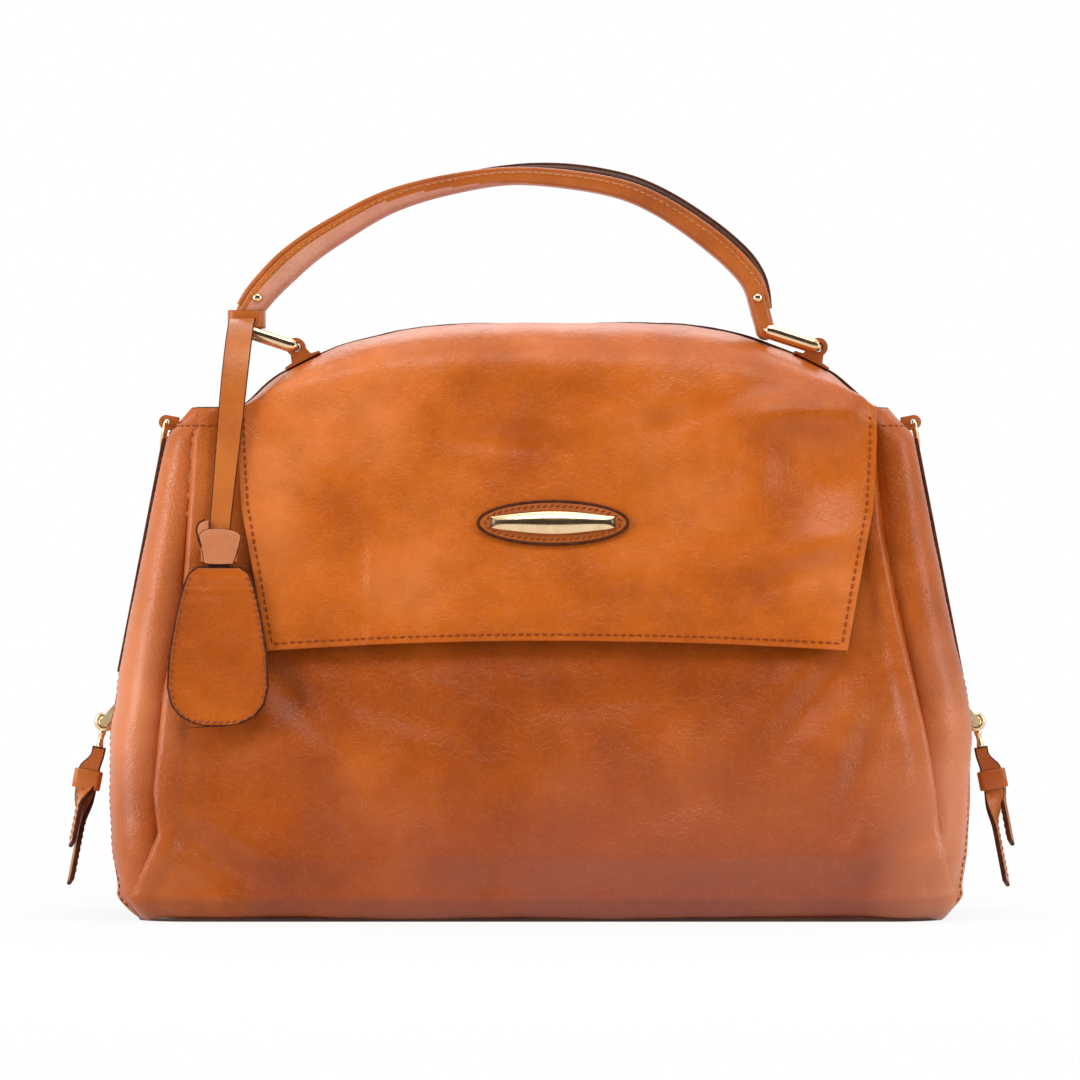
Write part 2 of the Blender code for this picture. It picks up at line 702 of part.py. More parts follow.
def build_rivet(name, side, line):
    """Rivet head on the handle's front face, over its foot."""
    heights = [z for x, z in line if x * side > 0]
    places = [x for x, z in line if x * side > 0]
    order = np.argsort(heights)
    x = float(np.interp(RIVET_RISE, np.array(heights)[order], np.array(places)[order]))
    rivet = disc(name, RIVET_RADIUS, RIVET_THICK, "champagne_metal")
    middle = (foot_bar(-1) + foot_bar(1)) / 2
    reach = HANDLE_FOOT_WIDTH / 2 + GAP + RIVET_THICK / 2
    rivet.location = middle + Vector((x, -reach, RIVET_RISE))
    rivet.rotation_euler = (math.pi / 2, 0.0, 0.0)


# Key charm
CHARM_OUT = FLAP_OUT + CHARM_STAND + CHARM_STRAP_THICK
BAND_FRONT = TOP_MIDDLE_Y - HANDLE_FOOT_WIDTH / 2 - 2 * GAP - BAND_THICK


def charm_hinge():
    """Where the charm's strap leaves the loop on the handle's left foot."""
    foot = foot_bar(-1)
    return Vector((foot.x, BAND_FRONT - GAP, foot.z + BAND_RISE + BAND_HEIGHT / 2))


def build_band():
    """Leather loop round the handle's left foot."""
    deep = HANDLE_FOOT_WIDTH / 2 + 2 * GAP
    left, right = -FOOT_RADIUS - 2 * GAP, FOOT_RADIUS + BAND_SLACK
    hole = [(left, -deep), (right, -deep), (right, deep), (left, deep)]
    band = outline("charm_band", [wider(hole, BAND_THICK), hole], BAND_HEIGHT / 2, "cognac_leather")
    band.location = foot_bar(-1) + Vector((0.0, 0.0, BAND_RISE + BAND_HEIGHT / 2))


def charm_middle(height, start):
    """How far along X the strap's middle is: it leans outwards down to its keeper."""
    straight = CHARM_LOW_HEIGHT + CHARM_KEEPER_RISE + CHARM_KEEPER_LENGTH + CHARM_STRAP_THICK
    share = min(1.0, (start.z - height) / (start.z - straight))
    return start.x - CHARM_LEAN * share


def charm_point(u, v, out, start):
    """A point on the strap: forwards off the band, over the shoulder and down the front."""
    path = (v + 1) / 2
    turn_height = SHOULDER_HEIGHT - CHARM_REACH
    turn_y = front_y(turn_height, out)
    if path <= CHARM_BEND_SHARE:
        bend = path / CHARM_BEND_SHARE * math.pi / 2
        y = start.y + (turn_y - start.y) * math.sin(bend)
        height = turn_height + (start.z - turn_height) * math.cos(bend)
    else:
        along = (path - CHARM_BEND_SHARE) / (1 - CHARM_BEND_SHARE)
        height = turn_height + (CHARM_LOW_HEIGHT - turn_height) * along
        y = front_y(height, out)
    return Vector((charm_middle(height, start) - u * CHARM_STRAP_WIDTH / 2, y, height))


def build_charm():
    build_band()
    start = charm_hinge()
    sheet("charm_strap", CHARM_COLUMNS, CHARM_ROWS,
          lambda u, v: charm_point(u, v, CHARM_OUT, start), CHARM_STRAP_THICK, "cognac_leather")
    low_x = charm_middle(CHARM_LOW_HEIGHT, start)
    build_charm_keeper(low_x)
    build_clochette(low_x)


def build_charm_keeper(x):
    """Leather keeper round the strap, just above the clochette."""
    wide, thick = CHARM_STRAP_WIDTH / 2 + GAP, CHARM_STRAP_THICK / 2 + GAP
    hole = [(-wide, -thick), (wide, -thick), (wide, thick), (-wide, thick)]
    back = CHARM_STRAP_THICK / 2 + CHARM_STAND - GAP
    rim = [(-wide - CHARM_KEEPER_THICK, -back), (wide + CHARM_KEEPER_THICK, -back),
           (wide + CHARM_KEEPER_THICK, thick + CHARM_KEEPER_THICK),
           (-wide - CHARM_KEEPER_THICK, thick + CHARM_KEEPER_THICK)]
    keeper = outline("charm_keeper", [rim, hole], CHARM_KEEPER_LENGTH / 2, "dark_edge_leather")
    height = CHARM_LOW_HEIGHT + CHARM_KEEPER_RISE + CHARM_KEEPER_LENGTH / 2
    on_front(keeper, x, height, CHARM_OUT - CHARM_STRAP_THICK / 2)
    keeper.rotation_euler = (-FRONT_TILT + math.pi, 0.0, 0.0)


def build_clochette(x):
    """Two leather leaves, hung from the end of the strap."""
    right = [(CLOCHETTE_WIDTH / 2 * w, -CLOCHETTE_LENGTH * h)
             for h, w in zip(CLOCHETTE_HEIGHT_SHARES, CLOCHETTE_WIDTH_SHARES)]
    right = smooth(right, 2)
    loop = right + [(-px, py) for px, py in reversed(right)]
    middle = CHARM_OUT - CHARM_STRAP_THICK / 2
    step = (CLOCHETTE_THICK + GAP) / 2
    for name, out in (("clochette_back", middle - step), ("clochette_front", middle + step)):
        leaf = outline(name, [loop], CLOCHETTE_THICK / 2, "cognac_leather")
        on_front(leaf, x, CHARM_LOW_HEIGHT - 2 * GAP, out)


# Side zips, in a frame whose X points out of the side and whose Z runs up along the chain
ZIP_LOW_HEIGHT = MOUTH_HEIGHT * ZIP_LOW_SHARE
ZIP_HIGH_HEIGHT = MOUTH_HEIGHT * ZIP_HIGH_SHARE
ZIP_LEAN = math.atan((half_width(ZIP_LOW_HEIGHT) - half_width(ZIP_HIGH_HEIGHT))
                     / (ZIP_HIGH_HEIGHT - ZIP_LOW_HEIGHT))
CHAIN_LENGTH = (ZIP_HIGH_HEIGHT - ZIP_LOW_HEIGHT) / math.cos(ZIP_LEAN)
SIDE_VIEW = (math.pi / 2, 0.0, 0.0)
PLATE_OUT = TAPE_STAND + TAPE_THICK + RUN_GAP
PIN_OUT = TAPE_STAND + TAPE_THICK + RUN_GAP + PULL_RING_RADIUS
PIN_RISE = TAPE_LOW - PULL_DROP


def zip_frame(name, side):
    surface = half_width(ZIP_LOW_HEIGHT) - GUSSET_RECESS
    turn = 0.0 if side > 0 else math.pi
    return empty(name, (side * surface, 0.0, ZIP_LOW_HEIGHT), (0.0, -ZIP_LEAN, turn))


def build_side(name, side):
    frame = zip_frame(name + "_zip_frame", side)
    for y_side in (-1, 1):
        where = "front" if y_side == -side else "back"
        build_tape(f"{name}_zip_tape_{where}", frame, y_side)
        build_guard(f"{name}_zip_guard_{where}", frame, y_side)
    build_stop(name + "_zip_stop", frame)
    build_slider(name, frame)
    build_pull(name, frame)
    build_d_ring(name, frame)


def build_tape(name, frame, y_side):
    """One half of the zip: a tape with its row of teeth along the inner edge."""
    inner, outer = TAPE_SLIT / 2, TAPE_SLIT / 2 + TAPE_WIDTH
    edge = []
    count = int((TAPE_HIGH - TAPE_LOW) / TOOTH_PITCH)
    pitch = (TAPE_HIGH - TAPE_LOW) / count
    for i in range(count):
        low = TAPE_LOW + i * pitch
        edge += [(inner, low), (inner, low + pitch / 2)]
        edge += [(inner + TOOTH_DEPTH, low + pitch / 2), (inner + TOOTH_DEPTH, low + pitch)]
    loop = [(y_side * y, z) for y, z in [*edge, (outer, TAPE_HIGH), (outer, TAPE_LOW)]]
    tape = outline(name, [loop], TAPE_THICK / 2, "zip_tape")
    tape.rotation_euler = (math.pi / 2, 0.0, math.pi / 2)
    tape.location = (TAPE_STAND + TAPE_THICK / 2, 0.0, 0.0)
    under(frame, tape)


def build_guard(name, frame, y_side):
    """Leather strip along the zip: it laps over the tape and is sewn down beside it."""
    over = TAPE_STAND + TAPE_THICK + GAP
    step = TAPE_SLIT / 2 + TAPE_WIDTH + GAP
    far = GUARD_HALF_SLOT + GUARD_WIDTH
    loop = [(over, GUARD_HALF_SLOT), (over + GUARD_THICK, GUARD_HALF_SLOT), (over + GUARD_THICK, far),
            (GAP, far), (GAP, step), (over, step)]
    half_length = (GUARD_HIGH - GUARD_LOW) / 2
    strip = outline(name, [[(x, y_side * y) for x, y in loop]], half_length, "cognac_leather")
    strip.location = (0.0, 0.0, (GUARD_LOW + GUARD_HIGH) / 2)
    under(frame, strip)


def build_stop(name, frame):
    """Stop at the top of the chain, outside the teeth."""
    half = SLIDER_WIDTH / 4
    low = (TAPE_STAND + TAPE_THICK + GAP, -half, TAPE_HIGH - STOP_LENGTH)
    high = (PLATE_OUT + SLIDER_PLATE, half, TAPE_HIGH)
    under(frame, box(name, low, high, "champagne_metal"))


def build_slider(name, frame):
    """Slider: two plates joined by a web through the slit, and two ears with the pull's pin."""
    low, high = TAPE_LOW, TAPE_LOW + SLIDER_LENGTH
    half, web = SLIDER_WIDTH / 2, SLIDER_WEB / 2
    inner_face = TAPE_STAND - RUN_GAP
    inner_back = inner_face - SLIDER_PLATE
    top = PLATE_OUT + SLIDER_PLATE
    section = [(inner_back, -half), (inner_face, -half), (inner_face, -web), (PLATE_OUT, -web),
               (PLATE_OUT, -half), (top, -half), (top, half), (PLATE_OUT, half), (PLATE_OUT, web),
               (inner_face, web), (inner_face, half), (inner_back, half)]
    slider = outline(name + "_zip_slider", [section], SLIDER_LENGTH / 2, "champagne_metal")
    slider.location = (0.0, 0.0, (low + high) / 2)
    slider = as_mesh(slider)
    ears = []
    for y_side in (-1, 1):
        ears.append(build_ear(f"{name}_slider_ear_{y_side + 1}", y_side, slider.location.z))
    centre = (PIN_OUT, 0.0, PIN_RISE - slider.location.z)
    ears.append(pin(name + "_slider_pin", PULL_PIN_RADIUS, 2 * EAR_HALF_HEIGHT - OVERLAP, centre,
                    "champagne_metal"))
    join(slider, *ears)
    under(frame, slider)
    for ear in ears:
        ear.location = slider.location
        under(frame, ear)


def build_ear(name, y_side, datum):
    """Side arm of the slider, from its outer plate down to the pin."""
    reach = PIN_OUT + 2 * PULL_PIN_RADIUS
    root = PLATE_OUT + SLIDER_PLATE - OVERLAP / 2
    top = TAPE_LOW + SLIDER_LENGTH / 2
    loop = [(root, TAPE_LOW), (PIN_OUT - 2 * PULL_PIN_RADIUS, PIN_RISE - 2 * PULL_PIN_RADIUS),
            (reach, PIN_RISE - 2 * PULL_PIN_RADIUS), (reach, PIN_RISE + PULL_PIN_RADIUS), (root, top)]
    ear = outline(name, [[(x, z - datum) for x, z in loop]], EAR_THICK / 2, "champagne_metal")
    ear.rotation_euler = SIDE_VIEW
    ear.location = (0.0, y_side * (EAR_HALF_HEIGHT - EAR_THICK / 2), 0.0)
    ear = as_mesh(ear)
    ear.data.transform(ear.matrix_world)
    ear.matrix_world = Matrix.Identity(4)
    return ear


def build_pull(name, frame):
    """Metal ring and shank on the slider's pin, and the folded leather strap in its eye."""
    hinge = empty(name + "_pull_hinge", (PIN_OUT, 0.0, PIN_RISE), (0.0, 0.0, 0.0), frame)
    ring = outline(name + "_pull_ring", pull_ring_loops(), PULL_THICK / 2, "champagne_metal")
    ring.rotation_euler = SIDE_VIEW
    under(hinge, ring)
    eye = empty(name + "_strap_hinge", (0.0, 0.0, -PULL_SHANK), (0.0, 0.0, 0.0), hinge)
    build_pull_strap(name, eye)
    build_pull_keeper(name, eye)


def pull_ring_loops():
    """Ring at the top, a shank down from it and a small eye at its foot."""
    slim = PULL_SHANK_HALF_WIDTH
    upper = math.asin(slim / PULL_RING_RADIUS)
    lower = math.asin(slim / PULL_EYE_RADIUS)
    foot = (0.0, -PULL_SHANK)
    loop = circle_points(PULL_RING_RADIUS, ROUND_POINTS, (0.0, 0.0), upper - math.pi / 2,
                         math.tau - 2 * upper)
    loop += circle_points(PULL_EYE_RADIUS, SMALL_POINTS, foot, math.pi / 2 + lower, math.tau - 2 * lower)
    holes = [circle_points(PULL_RING_HOLE, SMALL_POINTS, centre) for centre in ((0.0, 0.0), foot)]
    return [loop, *holes]


def pull_leaf_loop(length, slant):
    """Outline of one leaf of the pull's strap, from its narrow top to its slanted tail."""
    top, wide = PULL_TOP_WIDTH / 2, PULL_STRAP_WIDTH / 2
    lean = PULL_LEAN
    return [(-top, PULL_EYE_RADIUS), (-top, 0.0), (lean - wide, -PULL_FLARE), (lean - wide, -length + slant),
            (lean + wide, -length), (lean + wide, -PULL_FLARE), (top, 0.0), (top, PULL_EYE_RADIUS)]


def build_pull_strap(name, eye):
    """A strap folded through the eye: two leaves joined by the neck."""
    step = PULL_THICK / 2 + RUN_GAP + PULL_LEAF_THICK / 2
    leaves = []
    for y_side, length in ((-1, PULL_FRONT_LENGTH), (1, PULL_BACK_LENGTH)):
        leaf = outline(f"{name}_pull_leaf_{y_side + 1}", [pull_leaf_loop(length, PULL_SLANT)],
                       PULL_LEAF_THICK / 2, "cognac_leather")
        leaf.rotation_euler = SIDE_VIEW
        leaf.location = (0.0, y_side * step, 0.0)
        leaf = as_mesh(leaf)
        leaf.data.transform(leaf.matrix_world)
        leaf.matrix_world = Matrix.Identity(4)
        leaves.append(leaf)
    neck = pin(name + "_pull_neck", PULL_NECK_RADIUS, 2 * step, (0.0, 0.0, 0.0), "cognac_leather")
    strap = leaves[0]
    strap.name = name + "_pull_strap"
    join(strap, leaves[1], neck)
    under(eye, strap, leaves[1], neck)


def build_pull_keeper(name, eye):
    """Leather band that holds both leaves of the strap together."""
    deep = PULL_THICK / 2 + RUN_GAP + PULL_LEAF_THICK + GAP
    wide = PULL_STRAP_WIDTH / 2 + GAP
    hole = [(-wide, -deep), (wide, -deep), (wide, deep), (-wide, deep)]
    keeper = outline(name + "_pull_keeper", [wider(hole, PULL_KEEPER_THICK), hole],
                     PULL_KEEPER_LENGTH / 2, "dark_edge_leather")
    keeper.location = (PULL_LEAN, 0.0, -PULL_KEEPER_START - PULL_KEEPER_LENGTH / 2)
    under(eye, keeper)


# Side D-rings
D_BAR_OUT = TAPE_STAND + TAPE_THICK + 2 * GAP + GUARD_THICK + D_RING_WIRE / 2
D_BAR_RISE_ON_CHAIN = CHAIN_LENGTH + D_BAR_RISE


def build_d_ring(name, frame):
    """Leather tab at the top of the zip, and the D-ring that hangs in it."""
    hinge = empty(name + "_d_ring_hinge", (D_BAR_OUT, 0.0, D_BAR_RISE_ON_CHAIN), (0.0, 0.0, 0.0), frame)
    hole = circle_points(D_RING_WIRE / 2 + RUN_GAP, SMALL_POINTS)
    nose = circle_points(D_TAB_RADIUS, CAP_POINTS, (0.0, 0.0), -math.pi / 2, math.pi)
    back = GAP - D_BAR_OUT
    loop = [(back, -D_TAB_RADIUS), *nose, (back, D_TAB_RADIUS)]
    tab = outline(name + "_d_ring_tab", [loop, hole], D_TAB_WIDTH / 2, "cognac_leather")
    tab.rotation_euler = SIDE_VIEW
    under(hinge, tab)
    points = []
    for y, z in square_loop(D_RING_HALF_WIDTH, 1.0, D_RING_SQUARENESS_SHARE, D_RING_POINTS):
        points.append((0.0, y, d_ring_height(y, z)))
    ring = wire(name + "_d_ring", points, D_RING_WIRE, "champagne_metal")
    under(hinge, ring)


def d_ring_height(y, z):
    """Flat bar at the top and a round bow below."""
    if z >= 0:
        return (z - 1) * D_RING_BACK
    bow = math.sqrt(max(0.0, 1 - (y / D_RING_HALF_WIDTH) ** 2))
    return -D_RING_BACK - (D_RING_DROP - D_RING_BACK) * bow


build_body()
build_flap()
for tab_name, tab_side in (("left_anchor_tab", -1), ("right_anchor_tab", 1)):
    build_anchor_tab(tab_name, tab_side)
for link_name, link_side in (("left_link", -1), ("right_link", 1)):
    build_link(link_name, link_side)
build_handle()
build_charm()
for side_name, side_sign in (("left", -1), ("right", 1)):
    build_side(side_name, side_sign)
bpy.context.view_layer.update()
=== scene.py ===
"""Looks of the leather satchel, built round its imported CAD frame. Metres, +Z up, front towards -Y."""
import math

import bmesh
import bpy
import numpy as np
from mathutils import Matrix, Vector, noise


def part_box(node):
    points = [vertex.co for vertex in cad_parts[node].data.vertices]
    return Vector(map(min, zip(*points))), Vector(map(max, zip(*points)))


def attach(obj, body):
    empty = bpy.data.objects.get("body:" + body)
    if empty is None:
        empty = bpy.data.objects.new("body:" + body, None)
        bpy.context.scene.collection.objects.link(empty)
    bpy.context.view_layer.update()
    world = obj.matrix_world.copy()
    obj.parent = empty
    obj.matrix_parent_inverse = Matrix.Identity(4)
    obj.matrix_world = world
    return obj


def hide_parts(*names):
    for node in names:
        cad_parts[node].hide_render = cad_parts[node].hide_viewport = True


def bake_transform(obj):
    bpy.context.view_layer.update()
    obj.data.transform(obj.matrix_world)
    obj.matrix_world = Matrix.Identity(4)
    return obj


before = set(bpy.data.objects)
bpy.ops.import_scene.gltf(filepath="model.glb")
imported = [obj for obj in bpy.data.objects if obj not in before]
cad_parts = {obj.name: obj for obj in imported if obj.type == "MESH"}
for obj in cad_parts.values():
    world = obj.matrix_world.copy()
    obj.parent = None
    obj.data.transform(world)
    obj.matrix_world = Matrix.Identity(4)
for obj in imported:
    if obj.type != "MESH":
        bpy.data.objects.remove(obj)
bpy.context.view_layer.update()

# Sizes, nearly all repeated from the part's source
GAP, RUN_GAP, WALL = 0.0003, 0.0005, 0.0020
BODY_WIDTH, BODY_DEPTH, MOUTH = 0.400, 0.152, 0.238
WIDTH_AT = (0.0, 0.05, 0.126, 0.231, 0.38, 0.945, 1.0)
WIDTH_SHARES = (0.955, 0.978, 0.992, 1.0, 1.0, 0.87, 0.815)
DEPTH_AT, DEPTH_SHARES = (0.0, 0.05, 0.125, 1.0), (0.92, 0.975, 1.0, 0.474)
CORNER = 0.42
RECESS, TUCK = WALL + 3 * GAP, 0.0015
BASE_THICK, BOARD_THICK, LINING_THICK = 0.0025, 0.0020, 0.0008
FLAP_THICK, FLAP_LINING, FLAP_STAND, FLAP_X = 0.0022, 0.0010, 0.0036, 0.008
LINING_MARGIN = 0.0010
SHOULDER, DOME = 0.2455, 0.278
DOME_POWER, DOME_TAIL, ARCH_POWER = 4, 1.8, 0.4
BACK_HALF, FRONT_HALF, LOW_HALF = 0.154, 0.150, 0.134
FLAP_LOW, FLAP_ARCH = 0.125, 0.0045
DROP_AT, TAPER = (0.0, 0.45, 0.8, 1.0), (0.0, 0.22, 0.72, 1.0)
BINDING_DROP, BINDING_MARGIN, BINDING_WALL = 0.0120, 0.0080, 0.0010
PLATE_X, PLATE_Z, PLATE_HALF, PLATE_END, PLATE_MIDDLE = 0.006, 0.184, 0.029, 0.0048, 0.0112
PATCH_HALF, PATCH_HALF_WIDTH, PATCH_THICK = 0.0345, 0.0100, 0.0016
TAB_SPAN, TAB_LIFT, TAB_RADIUS, TAB_FOOT, TAB_WIDTH = 0.119, 0.0076, 0.0044, 0.0080, 0.0190
LINK_LENGTH, LINK_ANGLE, LINK_WIRE = 0.026, math.radians(162), 0.0034
FOOT_WIDTH, MID_WIDTH, HANDLE_RISE = 0.0190, 0.0150, 0.0723
HANDLE_X = (-1.0, -0.99, -0.92, -0.79, -0.64, -0.43, -0.18, 0.07, 0.38, 0.58, 0.80, 0.94, 0.985, 1.0)
HANDLE_Z = (0.0, 0.09, 0.26, 0.475, 0.65, 0.84, 0.955, 1.0, 0.94, 0.82, 0.57, 0.33, 0.1, 0.0)
BAND_WALL, BAND_RISE, BAND_HEIGHT = 0.0014, 0.0026, 0.0060
CHARM_STAND, CHARM_REACH, CHARM_LEAN, CHARM_LOW = 0.0020, 0.0100, 0.0090, 0.164
STRAP_HALF, STRAP_THICK, BEND_SHARE = 0.00625, 0.0018, 0.4
KEEPER_RISE, KEEPER_LENGTH = 0.0020, 0.0110
CLOCHETTE_HALF, CLOCHETTE_LENGTH, CLOCHETTE_THICK = 0.023, 0.074, 0.0017
LEAF_AT = (0.0, 0.04, 0.12, 0.3, 0.55, 0.76, 0.87, 0.94, 0.985, 1.0)
LEAF_WIDE = (0.42, 0.60, 0.70, 0.84, 0.97, 1.0, 0.92, 0.74, 0.46, 0.14)
ZIP_LOW, ZIP_HIGH = MOUTH * 0.38, MOUTH * 0.945
TAPE_STAND, TAPE_THICK, TAPE_WIDTH, SLIT = 0.0018, 0.0010, 0.0095, 0.0011
TAPE_LOW, TAPE_HIGH = 0.004, 0.127
GUARD_LOW, GUARD_HIGH, SLOT_HALF, GUARD_WIDTH, GUARD_THICK = 0.023, 0.135, 0.0056, 0.0110, 0.0014
RING_RADIUS, SHANK, PULL_THICK, PULL_HALF = 0.0046, 0.0150, 0.0018, 0.0049
PULL_DROP, PULL_SHIFT, PULL_BACK, PULL_FLARE, PULL_SLANT = 0.0056, 0.0026, 0.0030, 0.0080, 0.0035
PULL_KEEPER_START, PULL_KEEPER_LENGTH = 0.0085, 0.0090
D_TAB_WIDTH, D_TAB_RADIUS, D_WIRE, D_BAR_RISE = 0.0080, 0.0034, 0.0022, 0.0055
SIDES = (("left", -1), ("right", 1))


# Curves of one value
def mix(a, b, t):
    return a + (b - a) * t


def smoothstep(a, b, x):
    t = np.clip((x - a) / (b - a), 0, 1)
    return t * t * (3 - 2 * t)


def bump_at(x, centre, width):
    return np.exp(-((x - centre) / width) ** 2)


def spot(x, z, centre_x, centre_z, wide, high):
    """Round hill of height one that fades out in both directions."""
    return bump_at(x, centre_x, wide) * bump_at(z, centre_z, high)


def fold(x, z, place, reach, valley, lip):
    """Crease of height one along a line through a place (x, z, angle), with a smaller swell beside it."""
    centre_x, centre_z, angle = place
    along = (x - centre_x) * math.cos(angle) + (z - centre_z) * math.sin(angle)
    across = (z - centre_z) * math.cos(angle) - (x - centre_x) * math.sin(angle)
    share, offset, width = lip
    crease = bump_at(across, 0.0, valley) - share * bump_at(across, offset, width)
    return bump_at(along, 0.0, reach) * crease


# Outline of the bag
def half_width(z):
    return BODY_WIDTH / 2 * np.interp(z / MOUTH, WIDTH_AT, WIDTH_SHARES)


def half_depth(z):
    return BODY_DEPTH / 2 * np.interp(z / MOUTH, DEPTH_AT, DEPTH_SHARES)


STRAIGHT_LOW = MOUTH * DEPTH_AT[2]
TILT = math.atan((half_depth(STRAIGHT_LOW) - half_depth(MOUTH)) / (MOUTH - STRAIGHT_LOW))
FLAP_INSET = FLAP_THICK + 2 * GAP
FLAP_OUT = FLAP_STAND + FLAP_LINING + FLAP_INSET
BACK_EDGE = half_depth(MOUTH) - RUN_GAP
TOP_HALF = (BACK_HALF + FRONT_HALF) / 2


def front_y(z, out):
    return -(half_depth(MOUTH) + (MOUTH - z) * math.tan(TILT) + out / math.cos(TILT))


TOP_Y = (BACK_EDGE + front_y(SHOULDER, FLAP_OUT)) / 2


def dome_rise(share):
    return (DOME - SHOULDER) * np.maximum(0.0, 1 - np.abs(share) ** DOME_POWER) ** DOME_TAIL


def dome_slope(share):
    step = TAB_RADIUS / TOP_HALF
    return (dome_rise(share + step) - dome_rise(share - step)) / (2 * TAB_RADIUS)


# Materials
def material(name):
    mat = bpy.data.materials.new(name)
    mat.use_nodes = True
    return mat, mat.node_tree, mat.node_tree.nodes["Principled BSDF"]


def feed(tree, made, inputs):
    """Gives a node its inputs, each a socket or a value."""
    for key, value in inputs.items():
        if isinstance(value, bpy.types.NodeSocket):
            tree.links.new(value, made.inputs[key])
        else:
            made.inputs[key].default_value = value
    return made


def node(tree, kind, inputs=None, **settings):
    made = tree.nodes.new("ShaderNode" + kind)
    for key, value in settings.items():
        setattr(made, key, value)
    return feed(tree, made, inputs or {})


def clouds_in(tree, place, scale, detail, roughness=0.5):
    inputs = {"Vector": place, "Scale": scale, "Detail": detail, "Roughness": roughness}
    return node(tree, "TexNoise", inputs).outputs[0]


def spread(tree, value, low, high, first, last):
    """A value's range from low to high, laid on the range from first to last."""
    return node(tree, "MapRange", {0: value, 1: low, 2: high, 3: first, 4: last}).outputs[0]


def ramp(tree, factor, stops):
    made = node(tree, "ValToRGB", {"Fac": factor})
    line = made.color_ramp
    while len(line.elements) < len(stops):
        line.elements.new(0.5)
    for element, (place, colour) in zip(line.elements, stops):
        element.position = place
        element.color = (*colour, 1.0) if isinstance(colour, tuple) else (colour, colour, colour, 1.0)
    return made.outputs["Color"]


def blend_colour(tree, factor, a, b, mode="MIX"):
    a, b = ((*colour, 1.0) if isinstance(colour, tuple) else colour for colour in (a, b))
    return node(tree, "Mix", {0: factor, 6: a, 7: b}, data_type="RGBA", blend_type=mode).outputs[2]


def maths(tree, kind, a, b=0.0):
    return node(tree, "Math", {0: a, 1: b}, operation=kind).outputs[0]


def bump(tree, height, strength, distance, under=None):
    inputs = {"Strength": strength, "Distance": distance, "Height": height}
    if under is not None:
        inputs["Normal"] = under
    return node(tree, "Bump", inputs).outputs[0]


# Pale colour for the bag's sides: painted sheen from the side lights, together with wear
SHEEN_AND_WEAR = (0.72, 0.26, 0.120)
WARP = (0.011, 0.011, 0.011)


def leather(name, dark, middle, light, low=None, grain=1.0, rough=(0.27, 0.40)):
    """Waxed leather with clouded colour, pebble grain, short pale creases and soft wrinkles. A low colour
    veils the foot of the bag, and a pale colour paints sheen and wear on its sides."""
    mat, tree, shader = material(name)
    place = node(tree, "TexCoord").outputs["Object"]
    clouds = clouds_in(tree, place, 12.0, 5.0, 0.55)
    colour = ramp(tree, clouds, [(0.32, dark), (0.50, middle), (0.68, light)])
    patches = ramp(tree, clouds_in(tree, place, 55.0, 5.0), [(0.36, 0.80), (0.60, 1.0)])
    colour = blend_colour(tree, 0.6, colour, patches, "MULTIPLY")
    if low:
        across, _, height = node(tree, "SeparateXYZ", {0: place}).outputs
        veil = spread(tree, clouds_in(tree, place, 8.0, 4.0), 0.40, 0.58, 0.1, 1.0)
        foot = spread(tree, height, 0.110, 0.012, 0.0, 1.0)
        colour = blend_colour(tree, maths(tree, "MULTIPLY", foot, veil), colour, low)
        # Towards the sides the colour turns pale: painted sheen from the side lights, together with wear
        ends = spread(tree, maths(tree, "ABSOLUTE", across), 0.150, 0.200, 0.0, 0.75)
        colour = blend_colour(tree, maths(tree, "MULTIPLY", ends, veil), colour, SHEEN_AND_WEAR)
    warp = node(tree, "TexNoise", {"Vector": place, "Scale": 110.0, "Detail": 3.0}).outputs["Color"]
    warped = node(tree, "VectorMath", {0: warp, 1: WARP, 2: place}, operation="MULTIPLY_ADD").outputs[0]
    cells = node(tree, "TexVoronoi", {"Vector": warped, "Scale": 300.0}, feature="DISTANCE_TO_EDGE")
    calm = ramp(tree, clouds_in(tree, place, 60.0, 4.0),
                [(0.36, 1.0), (0.46, 0.0), (0.54, 0.0), (0.64, 1.0)])
    smooth = maths(tree, "MAXIMUM", ramp(tree, cells.outputs[0], [(0.0, 0.0), (0.10, 1.0)]), calm)
    pale = maths(tree, "MULTIPLY", maths(tree, "SUBTRACT", 1.0, smooth), 0.07)
    streaks = ramp(tree, clouds_in(tree, warped, 420.0, 2.0), [(0.56, 0.0), (0.68, 1.0)])
    pale = maths(tree, "MAXIMUM", pale, maths(tree, "MULTIPLY", streaks, 0.08))
    pebble = node(tree, "TexVoronoi", {"Vector": place, "Scale": 760.0}).outputs[0]
    creased = bump(tree, smooth, 0.24 * grain, 0.0004)
    grained = bump(tree, pebble, 0.22 * grain, 0.0003, creased)
    feed(tree, shader, {
        "Base Color": blend_colour(tree, pale, colour, tuple(min(1.0, 1.35 * c + 0.02) for c in light)),
        "Roughness": spread(tree, clouds, 0.3, 0.7, rough[1], rough[0]),
        "Specular IOR Level": 0.27,
        "Normal": bump(tree, clouds_in(tree, place, 38.0, 3.0), 0.3, 0.0016, grained)})
    return mat


def plain(name, colour, second, scale, rough, metallic=0.0, strength=0.2, depth=0.0002, shine=0.25):
    """Material of two close colours in a fine noise, with a bump from the same noise."""
    mat, tree, shader = material(name)
    field = clouds_in(tree, node(tree, "TexCoord").outputs["Object"], scale, 4.0)
    feed(tree, shader, {
        "Base Color": ramp(tree, field, [(0.35, second), (0.65, colour)]),
        "Roughness": spread(tree, field, 0.3, 0.7, rough + 0.06, rough - 0.04),
        "Metallic": metallic,
        "Specular IOR Level": 0.5 if metallic else shine,
        "Normal": bump(tree, field, strength, depth)})
    return mat


def sewing_thread(name, colour, second, rough=0.6, shine=0.08):
    return plain(name, colour, second, 900.0, rough, 0.0, 0.6, 0.0003, shine)


